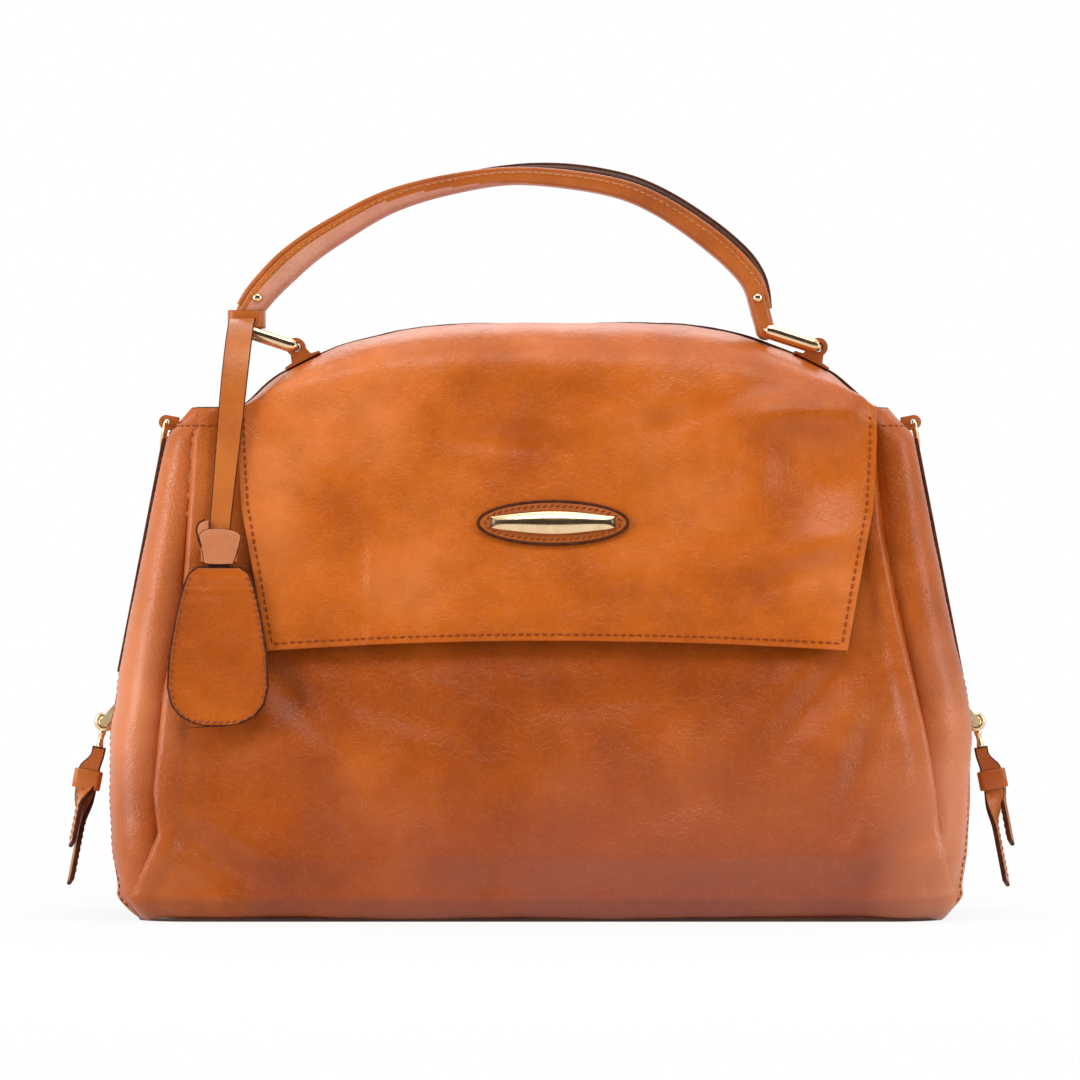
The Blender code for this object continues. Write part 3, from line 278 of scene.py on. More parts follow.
def weave(name, warp_colour, weft_colour, scale, rough):
    """Plain weave of two thread colours."""
    mat, tree, shader = material(name)
    place = node(tree, "TexCoord").outputs["Object"]
    waves = {"Vector": place, "Scale": scale, "Distortion": 0.4}
    threads = [node(tree, "TexWave", waves, bands_direction=axis).outputs["Fac"] for axis in ("X", "Z")]
    high = maths(tree, "MULTIPLY", *threads)
    shade = ramp(tree, clouds_in(tree, place, 40.0, 3.0), [(0.3, 0.8), (0.7, 1.0)])
    base = blend_colour(tree, high, weft_colour, warp_colour)
    feed(tree, shader, {"Base Color": blend_colour(tree, 0.5, base, shade, "MULTIPLY"), "Roughness": rough,
                        "Normal": bump(tree, high, 0.5, 0.0002)})
    return mat


# The body's leather is a darker copy of the flap's: painted shade where the flap shades the body
COGNAC = leather("cognac", (0.26, 0.042, 0.002), (0.38, 0.072, 0.003), (0.52, 0.125, 0.020),
                 low=(0.29, 0.068, 0.034))
FLAP_LEATHER = leather("cognac_flap", (0.36, 0.064, 0.003), (0.52, 0.112, 0.008), (0.65, 0.175, 0.040))
KNOT_LEATHER = leather("cognac_pale", (0.42, 0.120, 0.045), (0.50, 0.165, 0.065), (0.58, 0.22, 0.10),
                       grain=0.7)
STRAP_LEATHER = leather("cognac_strap", (0.30, 0.066, 0.012), (0.42, 0.102, 0.016), (0.52, 0.150, 0.030),
                        grain=0.7)
CHARM_LEATHER = leather("cognac_charm", (0.26, 0.046, 0.004), (0.40, 0.080, 0.006), (0.52, 0.120, 0.012),
                        grain=0.9)
PALE_LEATHER = leather("strap_underside", (0.46, 0.17, 0.10), (0.54, 0.22, 0.14), (0.60, 0.28, 0.18),
                       grain=0.6, rough=(0.5, 0.6))
SUEDE = leather("leather_back", (0.30, 0.10, 0.035), (0.38, 0.14, 0.05), (0.45, 0.18, 0.07),
                grain=0.6, rough=(0.7, 0.85))
DARK_LEATHER = leather("dark_leather", (0.045, 0.016, 0.010), (0.075, 0.026, 0.015), (0.11, 0.038, 0.02),
                       grain=0.8)
EDGE = plain("edge_paint", (0.095, 0.028, 0.012), (0.055, 0.016, 0.008), 300.0, 0.6, shine=0.05)
THREAD = sewing_thread("thread", (0.62, 0.26, 0.085), (0.42, 0.15, 0.045), 0.62)
# Thread darkened to paint in the shade of its stitch holes
DARK_THREAD = sewing_thread("dark_thread", (0.32, 0.070, 0.014), (0.23, 0.046, 0.009), shine=0.05)
CHARM_THREAD = sewing_thread("charm_thread", (0.30, 0.085, 0.040), (0.20, 0.055, 0.026))
GOLD = plain("champagne_gold", (0.86, 0.63, 0.38), (0.78, 0.54, 0.30), 160.0, 0.16, 1.0, 0.05, 0.0001)
TEETH = plain("zip_teeth", (0.86, 0.62, 0.42), (0.72, 0.48, 0.30), 500.0, 0.30, 1.0, 0.1, 0.0001)
TAPE = weave("zip_tape_cloth", (0.62, 0.25, 0.15), (0.44, 0.15, 0.08), 420.0, 0.85)
LINING = weave("lining_cloth", (0.50, 0.36, 0.24), (0.36, 0.25, 0.16), 330.0, 0.88)
BOARD = plain("grey_board", (0.42, 0.36, 0.29), (0.34, 0.28, 0.22), 260.0, 0.9, 0.0, 0.5, 0.0004)

PANEL, STRAP = (COGNAC, SUEDE, EDGE), (STRAP_LEATHER, EDGE)


# Points and directions
def unit(vectors):
    return vectors / np.maximum(np.linalg.norm(vectors, axis=-1, keepdims=True), 1e-12)


def net(rows, columns, low=0.0, high=1.0):
    """Two fields over a grid: one runs from low to high over its rows, one from -1 to 1 over its columns."""
    return np.meshgrid(np.linspace(low, high, rows + 1), np.linspace(-1, 1, columns + 1), indexing="ij")


def normals_of(grid, outwards, cyclic=False):
    """Unit normals of a grid of points (rows, columns, 3), which on the whole point outwards."""
    wrapped = np.concatenate([grid[:, -2:-1], grid, grid[:, 1:2]], axis=1) if cyclic else grid
    normal = unit(np.cross(np.gradient(wrapped, axis=1), np.gradient(wrapped, axis=0)))
    if cyclic:
        normal = normal[:, 1:-1]
    return normal if np.mean(np.sum(normal * outwards, axis=-1)) >= 0 else -normal


def placed(points, matrix):
    return np.asarray(points, float) @ np.array(matrix.to_3x3()).T + np.array(matrix.translation)


def turned(direction, matrix):
    return np.array(matrix.to_3x3()) @ np.array(direction, float)


def circle(radius, count, centre=(0.0, 0.0), start=0.0, turn=math.tau):
    steps = count if abs(turn) >= math.tau else count - 1
    return [(centre[0] + radius * math.cos(start + turn * i / steps),
             centre[1] + radius * math.sin(start + turn * i / steps)) for i in range(count)]


def upright_circle(radius, count, rise=0.0):
    return [(x, 0.0, rise + z) for x, z in circle(radius, count)]


def oval(half_long, half_wide, count, out=0.0):
    return [(half_long * x, half_wide * y, out) for x, y in circle(1.0, count)]


def rounded_box(x0, y0, x1, y1, radius, count=5):
    loop = []
    for x, y, start in ((x1 - radius, y1 - radius, 0), (x0 + radius, y1 - radius, 0.5),
                        (x0 + radius, y0 + radius, 1), (x1 - radius, y0 + radius, 1.5)):
        loop += circle(radius, count, (x, y), start * math.pi, math.pi / 2)
    return loop


def full_oval(half_length, half_wide, power, count):
    """Oval that a higher power makes squarer."""
    return [(math.copysign(abs(x) ** (2 / power), x) * half_length,
             math.copysign(abs(y) ** (2 / power), y) * half_wide) for x, y in circle(1.0, count)]


def smooth_line(points, steps):
    """Curve through all the points."""
    ends = np.array([points[0], *points, points[-1]], float)
    t = np.arange(steps)[:, None] / steps
    curve = [q + t / 2 * (r - p + t * (2 * p - 5 * q + 4 * r - s + t * (3 * q - p - 3 * r + s)))
             for p, q, r, s in zip(ends, ends[1:], ends[2:], ends[3:])]
    return np.concatenate([*curve, ends[-1:]])


def sample(grid, rows, columns):
    """Points on a grid at fractional rows and columns."""
    rows = np.clip(rows, 0, grid.shape[0] - 1.001)
    columns = np.clip(columns, 0, grid.shape[1] - 1.001)
    i, j = rows.astype(int), columns.astype(int)
    a, b = (rows - i)[:, None], (columns - j)[:, None]
    return mix(mix(grid[i, j], grid[i, j + 1], b), mix(grid[i + 1, j], grid[i + 1, j + 1], b), a)


def at(points, index):
    """Points on a line at fractional indexes."""
    i = np.clip(index.astype(int), 0, len(points) - 2)
    return mix(points[i], points[i + 1], (index - i)[:, None])


def spaced(points, pitch):
    """Fractional indexes along a line of points, at an even pitch."""
    along = np.concatenate([[0], np.cumsum(np.linalg.norm(np.diff(points, axis=0), axis=1))])
    count = max(2, int(along[-1] / pitch))
    return np.interp((np.arange(count) + 0.5) * along[-1] / count, along, np.arange(len(points)))


def noise_at(x, y, z, kind=noise.noise):
    """Values of a noise over arrays of points."""
    flat = np.stack(np.broadcast_arrays(x, y, z), -1).reshape(-1, 3)
    return np.array([kind(Vector(point)) for point in flat]).reshape(np.shape(x))


def three_octaves(point):
    return noise.fractal(point, 1.0, 2.0, 3, noise_basis="PERLIN_ORIGINAL")


def fractal(x, y, z, scale, seed):
    """Softly folded noise over arrays of points; a higher scale makes it finer."""
    x, y, z = (axis * scale + seed for axis in (x, y, z))
    return noise_at(x, y, z, three_octaves)


def relax(grid, passes, axis=0, keep=None):
    """Smooths a grid of points along one axis, in place; keep is a share by which each point stays."""
    lines = np.moveaxis(grid, axis, 0)
    ease = 0.5 if keep is None else 0.5 * (1 - keep[1:-1, :, None])
    for _ in range(passes):
        lines[1:-1] += ((lines[:-2] + lines[2:]) / 2 - lines[1:-1]) * ease
    return grid


# Meshes
def add_object(mesh, body, replaced=()):
    """Piece named after its mesh, on a body if one is given, in place of the parts it replaces."""
    piece = bpy.data.objects.new(mesh.name, mesh)
    bpy.context.scene.collection.objects.link(piece)
    if body:
        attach(piece, body)
    if replaced:
        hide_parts(*replaced)
    return piece


def new_mesh(name, verts, faces, mats):
    mesh = bpy.data.meshes.new(name)
    mesh.from_pydata([tuple(v) for v in verts], [], faces)
    for mat in mats:
        mesh.materials.append(mat)
    return mesh


def smooth_shade(mesh, angle):
    mesh.shade_smooth()
    mesh.set_sharp_from_angle(angle=math.radians(angle))


def face_out(mesh, angle, merge=False, rim=0.0):
    """Turns all faces outwards and shades them smooth below an angle, after merging points that lie on each
    other and rounding the edges between the third look and the others by a rim's size."""
    work = bmesh.new()
    work.from_mesh(mesh)
    if merge:
        bmesh.ops.remove_doubles(work, verts=work.verts, dist=1e-6)
    bmesh.ops.recalc_face_normals(work, faces=work.faces)
    if rim:
        edges = [e for e in work.edges if len(e.link_faces) == 2
                 and {f.material_index for f in e.link_faces} in ({0, 2}, {1, 2})]
        bmesh.ops.bevel(work, geom=edges, offset=rim, segments=2, profile=0.6, affect="EDGES", material=2)
    work.to_mesh(mesh)
    work.free()
    smooth_shade(mesh, angle)


def loft_faces(rings, sides, start=0, closed=False):
    """Faces between rings of points, and over both ends unless the last ring meets the first."""
    faces = []
    for i in range(rings if closed else rings - 1):
        one, two = start + i * sides, start + (i + 1) % rings * sides
        faces += [(one + k, one + (k + 1) % sides, two + (k + 1) % sides, two + k) for k in range(sides)]
    if not closed:
        faces += [tuple(start + k for k in reversed(range(sides))), tuple(two + k for k in range(sides))]
    return faces


def shell(name, grid, thick, body, mats, replaced=(), outwards=None, round_rim=True, cyclic=False,
          level=False):
    """Sheet with its outer face on the grid, its inner face a thickness behind and a painted, rounded rim.
    A cyclic sheet closes on itself, and a level one has its upper and lower rims level."""
    outwards = grid - grid.reshape(-1, 3).mean(0) if outwards is None else outwards
    inner = grid - normals_of(grid, outwards, cyclic) * thick
    if level:
        inner[[0, -1], :, 2] = grid[[0, -1], :, 2]
    index = np.arange(grid[..., 0].size).reshape(grid.shape[:2])
    outer = np.stack([index[:-1, :-1], index[:-1, 1:], index[1:, 1:], index[1:, :-1]], -1).reshape(-1, 4)
    borders = [index[0], index[-1]] if cyclic else [index[0], index[-1], index[:, 0], index[:, -1]]
    rims = np.concatenate([np.stack([line[:-1], line[1:], line[1:] + index.size, line[:-1] + index.size], -1)
                           for line in borders])
    faces = np.concatenate([outer, outer[:, ::-1] + index.size, rims])
    looks = np.repeat([0, 1, 2], [len(outer), len(outer), len(rims)])
    mesh = new_mesh(name, np.concatenate([grid, inner]).reshape(-1, 3), faces.tolist(), mats)
    mesh.polygons.foreach_set("material_index", np.minimum(looks, len(mats) - 1))
    face_out(mesh, 50, True, thick * 0.28 if round_rim and len(mats) > 2 else 0.0)
    return add_object(mesh, body, replaced)


STITCH_AT, STITCH_SIZES = (-0.5, -0.36, 0.0, 0.36, 0.5), (0.35, 0.85, 1.0, 0.85, 0.35)


def stitches(name, rows, body, pitch=0.0033, length=0.0024, radius=0.00030, slant=0.0, mat=THREAD):
    """Thread stitches sunk into the leather; each row is its points and its normals, or its one normal."""
    angle = math.tau * np.arange(6) / 6
    made = []
    for points, normals in rows:
        index = spaced(points, pitch)
        centre, up = at(points, index), unit(at(np.broadcast_to(normals, points.shape), index))
        before, beyond = np.clip(index - 0.3, 0, None), np.clip(index + 0.3, 0, len(points) - 1)
        ahead = at(points, beyond) - at(points, before)
        ahead = unit(ahead - up * np.sum(up * ahead, axis=1, keepdims=True))
        ahead = ahead * math.cos(slant) + np.cross(up, ahead) * math.sin(slant)
        across = np.cross(up, ahead)
        rings = []
        for share, size in zip(STITCH_AT, STITCH_SIZES):
            high = radius * (0.75 - 2.4 * share * share + size * np.sin(angle))
            wide = radius * size * 1.15 * np.cos(angle)
            middle = centre + ahead * share * length
            rings.append(middle[:, None] + up[:, None] * high[:, None] + across[:, None] * wide[:, None])
        made.append(np.stack(rings, 1))
    made = np.concatenate(made)
    faces = [face for i in range(len(made)) for face in loft_faces(5, 6, 30 * i)]
    mesh = new_mesh(name, made.reshape(-1, 3), faces, [mat])
    mesh.shade_smooth()
    return add_object(mesh, body)


def tube_mesh(name, points, radii, mat, closed=False, sides=12, squash=1.0, up=(0.0, 1.0, 0.0)):
    """Round bar along a line of points, with its own radius at each."""
    points = np.asarray(points, float)
    ends = points[[-1, 0]] if closed else points[[0, -1]]
    line = np.concatenate([ends[:1], points, ends[1:]])
    ahead = unit(line[2:] - line[:-2])
    side = unit(up - ahead * (ahead @ np.array(up, float))[:, None])
    angle = (math.tau * np.arange(sides) / sides)[:, None]
    spokes = side[:, None] * np.cos(angle) * squash + np.cross(ahead, side)[:, None] * np.sin(angle)
    verts = points[:, None] + np.broadcast_to(radii, len(points))[:, None, None] * spokes
    mesh = new_mesh(name, verts.reshape(-1, 3), loft_faces(len(points), sides, closed=closed), [mat])
    face_out(mesh, 60)
    return mesh


def tube(name, points, radii, body, mat, replaced=(), **shape):
    return add_object(tube_mesh(name, points, radii, mat, **shape), body, replaced)


def join_meshes(name, meshes):
    """One mesh from several that share their material."""
    work = bmesh.new()
    for mesh in meshes:
        work.from_mesh(mesh)
    result = new_mesh(name, [], [], meshes[0].materials)
    work.to_mesh(result)
    work.free()
    smooth_shade(result, 60)
    return result


def cut(name, loops, thick, matrix, body, mats, rounding=0.0004, replaced=(), lines_only=False,
        dark=None):
    """Flat outline with holes, thick and with rounded edges. The second material goes on its whole rim, or
    only on the rounded lines of its edges, and on what faces the dark direction."""
    curve = bpy.data.curves.new(name + "_line", "CURVE")
    curve.dimensions = "2D"
    curve.fill_mode = "BOTH"
    curve.extrude = thick / 2 - rounding
    curve.bevel_depth = rounding
    curve.bevel_resolution = 2
    curve.offset = -rounding
    for loop in loops:
        spline = curve.splines.new("POLY")
        spline.points.add(len(loop) - 1)
        for point, place in zip(spline.points, loop):
            point.co = (place[0], place[1], 0.0, 1.0)
        spline.use_cyclic_u = True
    maker = bpy.data.objects.new(name + "_maker", curve)
    bpy.context.scene.collection.objects.link(maker)
    bpy.context.view_layer.update()
    mesh = bpy.data.meshes.new_from_object(maker.evaluated_get(bpy.context.evaluated_depsgraph_get()))
    bpy.data.objects.remove(maker)
    mesh.name = name
    mesh.materials.clear()
    for mat in mats:
        mesh.materials.append(mat)
    face_out(mesh, 40, True)
    for face in mesh.polygons:
        up = abs(face.normal.z)
        painted = 0.3 < up < 0.95 if lines_only else up < 0.9
        painted = painted or (dark is not None and face.normal.dot(dark) > 0.6)
        face.material_index = 1 if painted and len(mats) > 1 else 0
    mesh.transform(matrix)
    return add_object(mesh, body, replaced)


# Body of the bag
LEFT_CREASE = ((0.0, -0.188), (0.015, -0.184), (0.041, -0.173), (0.060, -0.175), (0.092, -0.172),
               (0.110, -0.170), (0.150, -0.163), (0.200, -0.160), (0.245, -0.158))
RIGHT_CREASE = ((0.0, 0.192), (0.008, 0.190), (0.041, 0.184), (0.083, 0.177), (0.120, 0.169),
                (0.148, 0.163), (0.181, 0.157), (0.245, 0.152))
PANEL_FOLDS = (((-0.118, 0.108, -0.9), 0.0034), ((0.128, 0.104, 0.9), 0.0040),
               ((0.150, 0.075, 1.25), 0.0030), ((-0.150, 0.030, -0.6), 0.0034),
               ((0.02, 0.100, 0.12), 0.0012), ((-0.06, 0.095, -0.35), 0.0018),
               ((0.165, 0.03, 0.8), 0.0026), ((0.075, 0.060, 0.5), 0.0014),
               ((-0.085, 0.045, -0.8), 0.0016))
FLAT_SHARE = 0.62


def panel_grid(side, columns=250, rows=110):
    """Outer face of the front or back panel, wrapped round both corners, with its folds. The leather moves
    freely below the flap, and the columns stand closest at the corner creases."""
    share = np.linspace(0, 1, rows + 1)
    even = np.linspace(-1, 1, 801)
    crowd = np.cumsum(1 + 3.2 * bump_at(np.abs(even), 0.585, 0.065))
    u = np.interp(np.linspace(crowd[0], crowd[-1], columns + 1), crowd, even)
    z, u = np.meshgrid(MOUTH * (0.35 * share ** 2 + 0.65 * share), u, indexing="ij")
    radius = CORNER * half_depth(z)
    bend = np.clip((np.abs(u) - FLAT_SHARE) / (1 - FLAT_SHARE), 0, 1) * math.pi / 2
    out_x, out_y = np.sign(u) * np.sin(bend), np.cos(bend)
    x = (half_width(z) - radius) * np.clip(u / FLAT_SHARE, -1, 1) + radius * out_x
    y = half_depth(z) - radius + radius * out_y
    free = smoothstep(0.135, 0.105, z)
    seen_x = x if side < 0 else -x
    belly = np.sin(np.pi * np.clip(z / 0.13, 0, 1)) * np.cos(np.clip(x / 0.2, -1, 1) * math.pi / 2)
    ease = mix(0.35, 1.0, free) * smoothstep(1.0, 0.985, np.abs(u))
    move = 0.0030 * belly * free
    move += 0.0021 * fractal(seen_x, side * 0.3, z, 13.0, 3.1) * ease
    move += 0.0004 * fractal(seen_x, side * 0.7, z * 1.4, 46.0, 8.2) * ease
    for line, deep, lap in ((LEFT_CREASE, 0.0080, 0.0042), (RIGHT_CREASE, 0.0058, 0.0026)):
        heights, places = zip(*line)
        way = math.copysign(1.0, places[0])
        offset = (seen_x - np.interp(z, heights, places)) * way
        strength = mix(0.8, 1.0, free) * smoothstep(1.0, 0.93, np.abs(u))
        if side > 0:
            strength = strength * smoothstep(MOUTH + 0.004, MOUTH - 0.035, z)
        lips = 0.0026 * bump_at(offset, -0.0044, 0.0046) + 0.0020 * bump_at(offset, 0.0200, 0.0090)
        valley = np.where(offset < 0.0012, smoothstep(-0.0020, 0.0012, offset),
                          np.exp(-(np.maximum(offset, 0.0012) - 0.0012) / 0.0075))
        move += strength * (lips - deep * valley)
        tuck = lap * strength * bump_at(offset, -0.0012, 0.0030) * smoothstep(0.0005, 0.012, z)
        x = x - way * side * tuck
    size = 1.0 if side < 0 else 0.5
    for place, deep in PANEL_FOLDS:
        creased = fold(seen_x, z, place, 0.030, 0.0082, (0.5, 0.014, 0.009))
        move -= size * deep * creased * free * smoothstep(1.0, 0.96, np.abs(u))
    if side < 0:
        move -= 0.0040 * spot(x, z, 0.134, 0.206, 0.026, 0.020)
    move -= 0.0050 * np.clip(1 - z / 0.009, 0, 1) ** 2
    move += 0.0012 * bump_at(z, 0.0105, 0.0035)
    return np.stack([x + out_x * move, side * (y + out_y * move), z], -1)


def build_panel(name, side, solid):
    grid = panel_grid(side)
    shell(name, grid, WALL, "bag", PANEL, [solid], level=True)
    normal = normals_of(grid, (0.0, side, 0.0))
    rows = [(grid[4:-2, column], normal[4:-2, column]) for column in (3, -4)]
    rows.append((grid[-4, 4:-4], normal[-4, 4:-4]))
    stitches(name + "_stitches", rows, "bag", mat=DARK_THREAD)


def gusset_grid(side, columns=46, rows=90):
    """Outer face of a gusset, folded in at its foot and calm under the zip."""
    z, v = net(rows, columns, 0.0, MOUTH)
    y = v * (half_depth(z) * (1 - CORNER) + TUCK)
    clear = np.maximum(smoothstep(0.021, 0.030, np.abs(y)), smoothstep(0.082, 0.060, z))
    inward = 0.0030 * bump_at(y, 0.0, 0.006) - 0.0014 * bump_at(np.abs(y), 0.012, 0.006)
    move = -inward * smoothstep(0.082, 0.055, z) * smoothstep(0.0, 0.02, z)
    wrinkles = 0.0018 * fractal(y, side * 1.7, z, 30.0, 12.5) - 0.0006
    move += wrinkles * clear * smoothstep(1.0, 0.9, np.abs(v))
    move -= 0.0030 * np.clip(1 - z / 0.008, 0, 1) ** 2
    return np.stack([side * (half_width(z) - RECESS + move), y, z], -1)


for word, side in (("front", -1), ("back", 1)):
    build_panel(word + "_leather", side, word + "_panel")
for word, side in SIDES:
    shell(word + "_side_leather", gusset_grid(side), WALL, "bag", PANEL, [word + "_gusset"],
          (side, 0.0, 0.0), level=True)


# Base and lining
def base_loop():
    wide, deep = (size - WALL - GAP for size in (half_width(0.0) - RECESS, half_depth(0.0)))
    radius = CORNER * half_depth(0.0) - WALL - GAP
    reach = half_width(0.0) - CORNER * half_depth(0.0) + radius
    return [(np.clip(x, -wide, wide), y) for x, y in rounded_box(-reach, -deep, reach, deep, radius, 12)]


def lining_grid(columns=120, rows=50):
    """Bag of cloth from the board to the mouth, slack in the middle and drawn in at the mouth's corners."""
    floor = BASE_THICK + BOARD_THICK + 2 * GAP
    share, u = net(rows, columns)
    z = mix(floor, MOUTH, share)
    cos, sin = np.cos(u * math.pi), np.sin(u * math.pi)
    slack = 0.0075 * smoothstep(0.0, 0.02, z) * smoothstep(MOUTH, MOUTH - 0.035, z)
    wide = half_width(z) - RECESS - WALL - 2 * GAP - slack
    deep = half_depth(z) - WALL - 2 * GAP - slack
    radius = np.minimum(CORNER * half_depth(z), deep)
    sag = 0.0022 * np.abs(fractal(cos * 0.2, sin * 0.1, z, 24.0, 30.0)) * np.sin(np.pi * share)
    x = np.sign(cos) * (wide - radius) * np.minimum(1, np.abs(cos) * 2) + (radius - sag) * cos
    y = np.sign(sin) * (deep - radius) * np.minimum(1, np.abs(sin) * 2) + (radius - sag) * sin
    y -= np.sign(y) * 0.0060 * bump_at(np.abs(x), 0.156, 0.013) * smoothstep(MOUTH - 0.050, MOUTH - 0.020, z)
    return np.stack([x, y, z], -1)


# Dark leather on the base's rim: its painted edge, and also a painted shadow line along the bag's foot
cut("base_leather", [base_loop()], BASE_THICK, Matrix.Translation((0, 0, BASE_THICK / 2)), "bag",
    (COGNAC, DARK_LEATHER), 0.0007, ["base_panel"])
lining = lining_grid()
shell("lining_bag", lining, LINING_THICK, "bag", [LINING], ["lining"], round_rim=False, cyclic=True)
cut("lining_floor", [lining[0][:-1]], LINING_THICK,
    Matrix.Translation((0, 0, lining[0, 0, 2] + LINING_THICK / 2)), "bag", [LINING], 0.0001)

# Flap
TOP_ROWS, FRONT_ROWS, FLAP_COLUMNS = 60, 80, 150
END_DROP, END_DRAW = 0.0072, 0.0012


def flap_grid(inset, margin):
    """Flap from the back seam over the dome to its lower edge, round at the shoulder, with drooping ends."""
    share, u = net(TOP_ROWS - 1, FLAP_COLUMNS, 0.0, 1 - 1 / TOP_ROWS)
    along = (1 - np.cos(math.pi * share)) / 2
    arch = (4 * along * (1 - along)) ** ARCH_POWER
    x = FLAP_X + u * (mix(BACK_HALF, FRONT_HALF, along) - margin)
    y = mix(BACK_EDGE - inset, front_y(SHOULDER - inset, FLAP_OUT - inset), along)
    z = SHOULDER - inset * np.hypot(1.0, dome_slope(u) * arch) + dome_rise(u) * arch
    top = np.stack([x, y, z], -1)
    along, u = net(FRONT_ROWS, FLAP_COLUMNS)
    half = mix(FRONT_HALF, LOW_HALF, np.interp(along, DROP_AT, TAPER))
    z = mix(SHOULDER - inset, FLAP_LOW + FLAP_ARCH * (1 - u * u) + margin, along)
    drop = np.stack([FLAP_X + u * (half - margin), front_y(z, FLAP_OUT - inset), z], -1)
    grid = np.concatenate([top, drop])
    row = np.arange(len(grid))[:, None]
    above, below = mix(0.9, 1.0, smoothstep(0, 14, row)), bump_at(row, TOP_ROWS, 12.0)
    droop = np.where(row < TOP_ROWS, above, below) * smoothstep(0.84, 1.0, np.abs(u[0]))
    grid[..., 2] -= END_DROP * droop
    grid[..., 0] -= END_DRAW * droop * np.sign(u[0])
    return relax(grid, 26, keep=np.broadcast_to(1 - bump_at(row, TOP_ROWS, 9.0), droop.shape))


FLAP_SPOTS = ((-0.0056, 0.134, 0.206, 0.022, 0.017), (0.0062, 0.124, 0.234, 0.034, 0.010),
              (0.0032, 0.100, 0.208, 0.010, 0.022), (0.0020, 0.136, 0.174, 0.018, 0.010))
FLAP_FOLDS = (((0.120, 0.160, 0.35), 0.0016), ((-0.105, 0.158, -0.5), 0.0014), ((0.045, 0.150, 0.1), 0.0010),
              ((-0.02, 0.222, -0.1), 0.0013), ((0.065, 0.232, 0.3), 0.0014))


def flap_folds(grid):
    """How far the flap's points move out: not at all under plate and tabs, and little under the charm."""
    x, y, z = grid[..., 0], grid[..., 1], grid[..., 2]
    front = smoothstep(-0.030, -0.040, y)
    plate = np.exp(-((x - PLATE_X) / 0.048) ** 4 - ((z - PLATE_Z) / 0.020) ** 4)
    tabs = np.exp(-((np.abs(x - FLAP_X) - TAB_SPAN) / 0.016) ** 4 - ((y - TOP_Y) / 0.018) ** 4)
    charm = smoothstep(-0.066, -0.082, x) * smoothstep(0.0, -0.02, y)
    move = 0.0017 * fractal(x, y, z, 11.0, 41.0) + 0.0003 * fractal(x * 1.5, y, z, 38.0, 47.0)
    for height, *place in FLAP_SPOTS:
        move += height * front * spot(x, z, *place)
    for place, deep in FLAP_FOLDS:
        move -= deep * front * fold(x, z, place, 0.032, 0.006, (0.6, 0.010, 0.007))
    return np.minimum(move * np.clip(1 - plate - tabs, 0, 1), mix(0.020, 0.0001, charm))


def flap_surface(inset, margin):
    """Folded surface of the flap at an inset from its outer face, and its normals."""
    grid = flap_grid(inset, margin)
    normal = normals_of(grid, (0.0, -1.0, 0.0))
    for axis in (0, 0, 1):
        relax(normal, 5, axis)
    normal = unit(normal)
    ends = smoothstep(1.0, 0.93, np.abs(np.linspace(-1, 1, FLAP_COLUMNS + 1)))
    on_top = (np.arange(len(grid)) < TOP_ROWS + 6)[:, None]
    move = flap_folds(grid) * np.where(on_top, ends, mix(0.5, 1.0, ends))
    return grid + normal * move[..., None], normal


flap, flap_normal = flap_surface(0.0, 0.0)
shell("flap_leather", flap, FLAP_THICK, "flap", (FLAP_LEATHER, SUEDE, FLAP_LEATHER), ["flap_outer"],
      flap_normal)
inner, inner_normal = flap_surface(FLAP_INSET, LINING_MARGIN)
shell("flap_lining_cloth", inner, FLAP_LINING, "flap", (SUEDE, SUEDE, EDGE), ["flap_lining"], inner_normal,
      round_rim=False)


def flap_seams():
    """Rows of stitches down both sides of the flap and along its lower edge."""
    last = len(flap) - 1
    rows = np.arange(TOP_ROWS + 4, last - 1.9)
    span = np.linalg.norm(flap[rows.astype(int), 0] - flap[rows.astype(int), -1], axis=1)
    inset = FLAP_COLUMNS * 0.0032 / span
    low_columns = np.arange(inset[-1], FLAP_COLUMNS - inset[-1] + 0.01)
    low_rows = np.full(len(low_columns), last - 1.95)
    lines = [(rows, inset), (rows, FLAP_COLUMNS - inset), (low_rows, low_columns)]
    return [(sample(flap, *line), sample(flap_normal, *line)) for line in lines]


PIPING_ROW = 25
stitches("flap_stitches", flap_seams(), "flap", 0.0036, 0.0025, 0.00042, mat=DARK_THREAD)
across = np.linspace(-1, 1, FLAP_COLUMNS + 1)[2:-2]
proud = mix(0.0005, 0.0009, smoothstep(0.0, 0.5, across))
piping = flap[PIPING_ROW, 2:-2] + flap_normal[PIPING_ROW, 2:-2] * proud[:, None]
piping_radii = mix(0.0003, 0.0008, smoothstep(0.985, 0.90, np.abs(across)))
tube("dome_piping", piping, piping_radii, "flap", EDGE, sides=8)

# Binding over the back seam, sewn to the flap's back edge
UNDER_FLAP = FLAP_THICK + RUN_GAP + GAP
BINDING_COLUMNS = 121


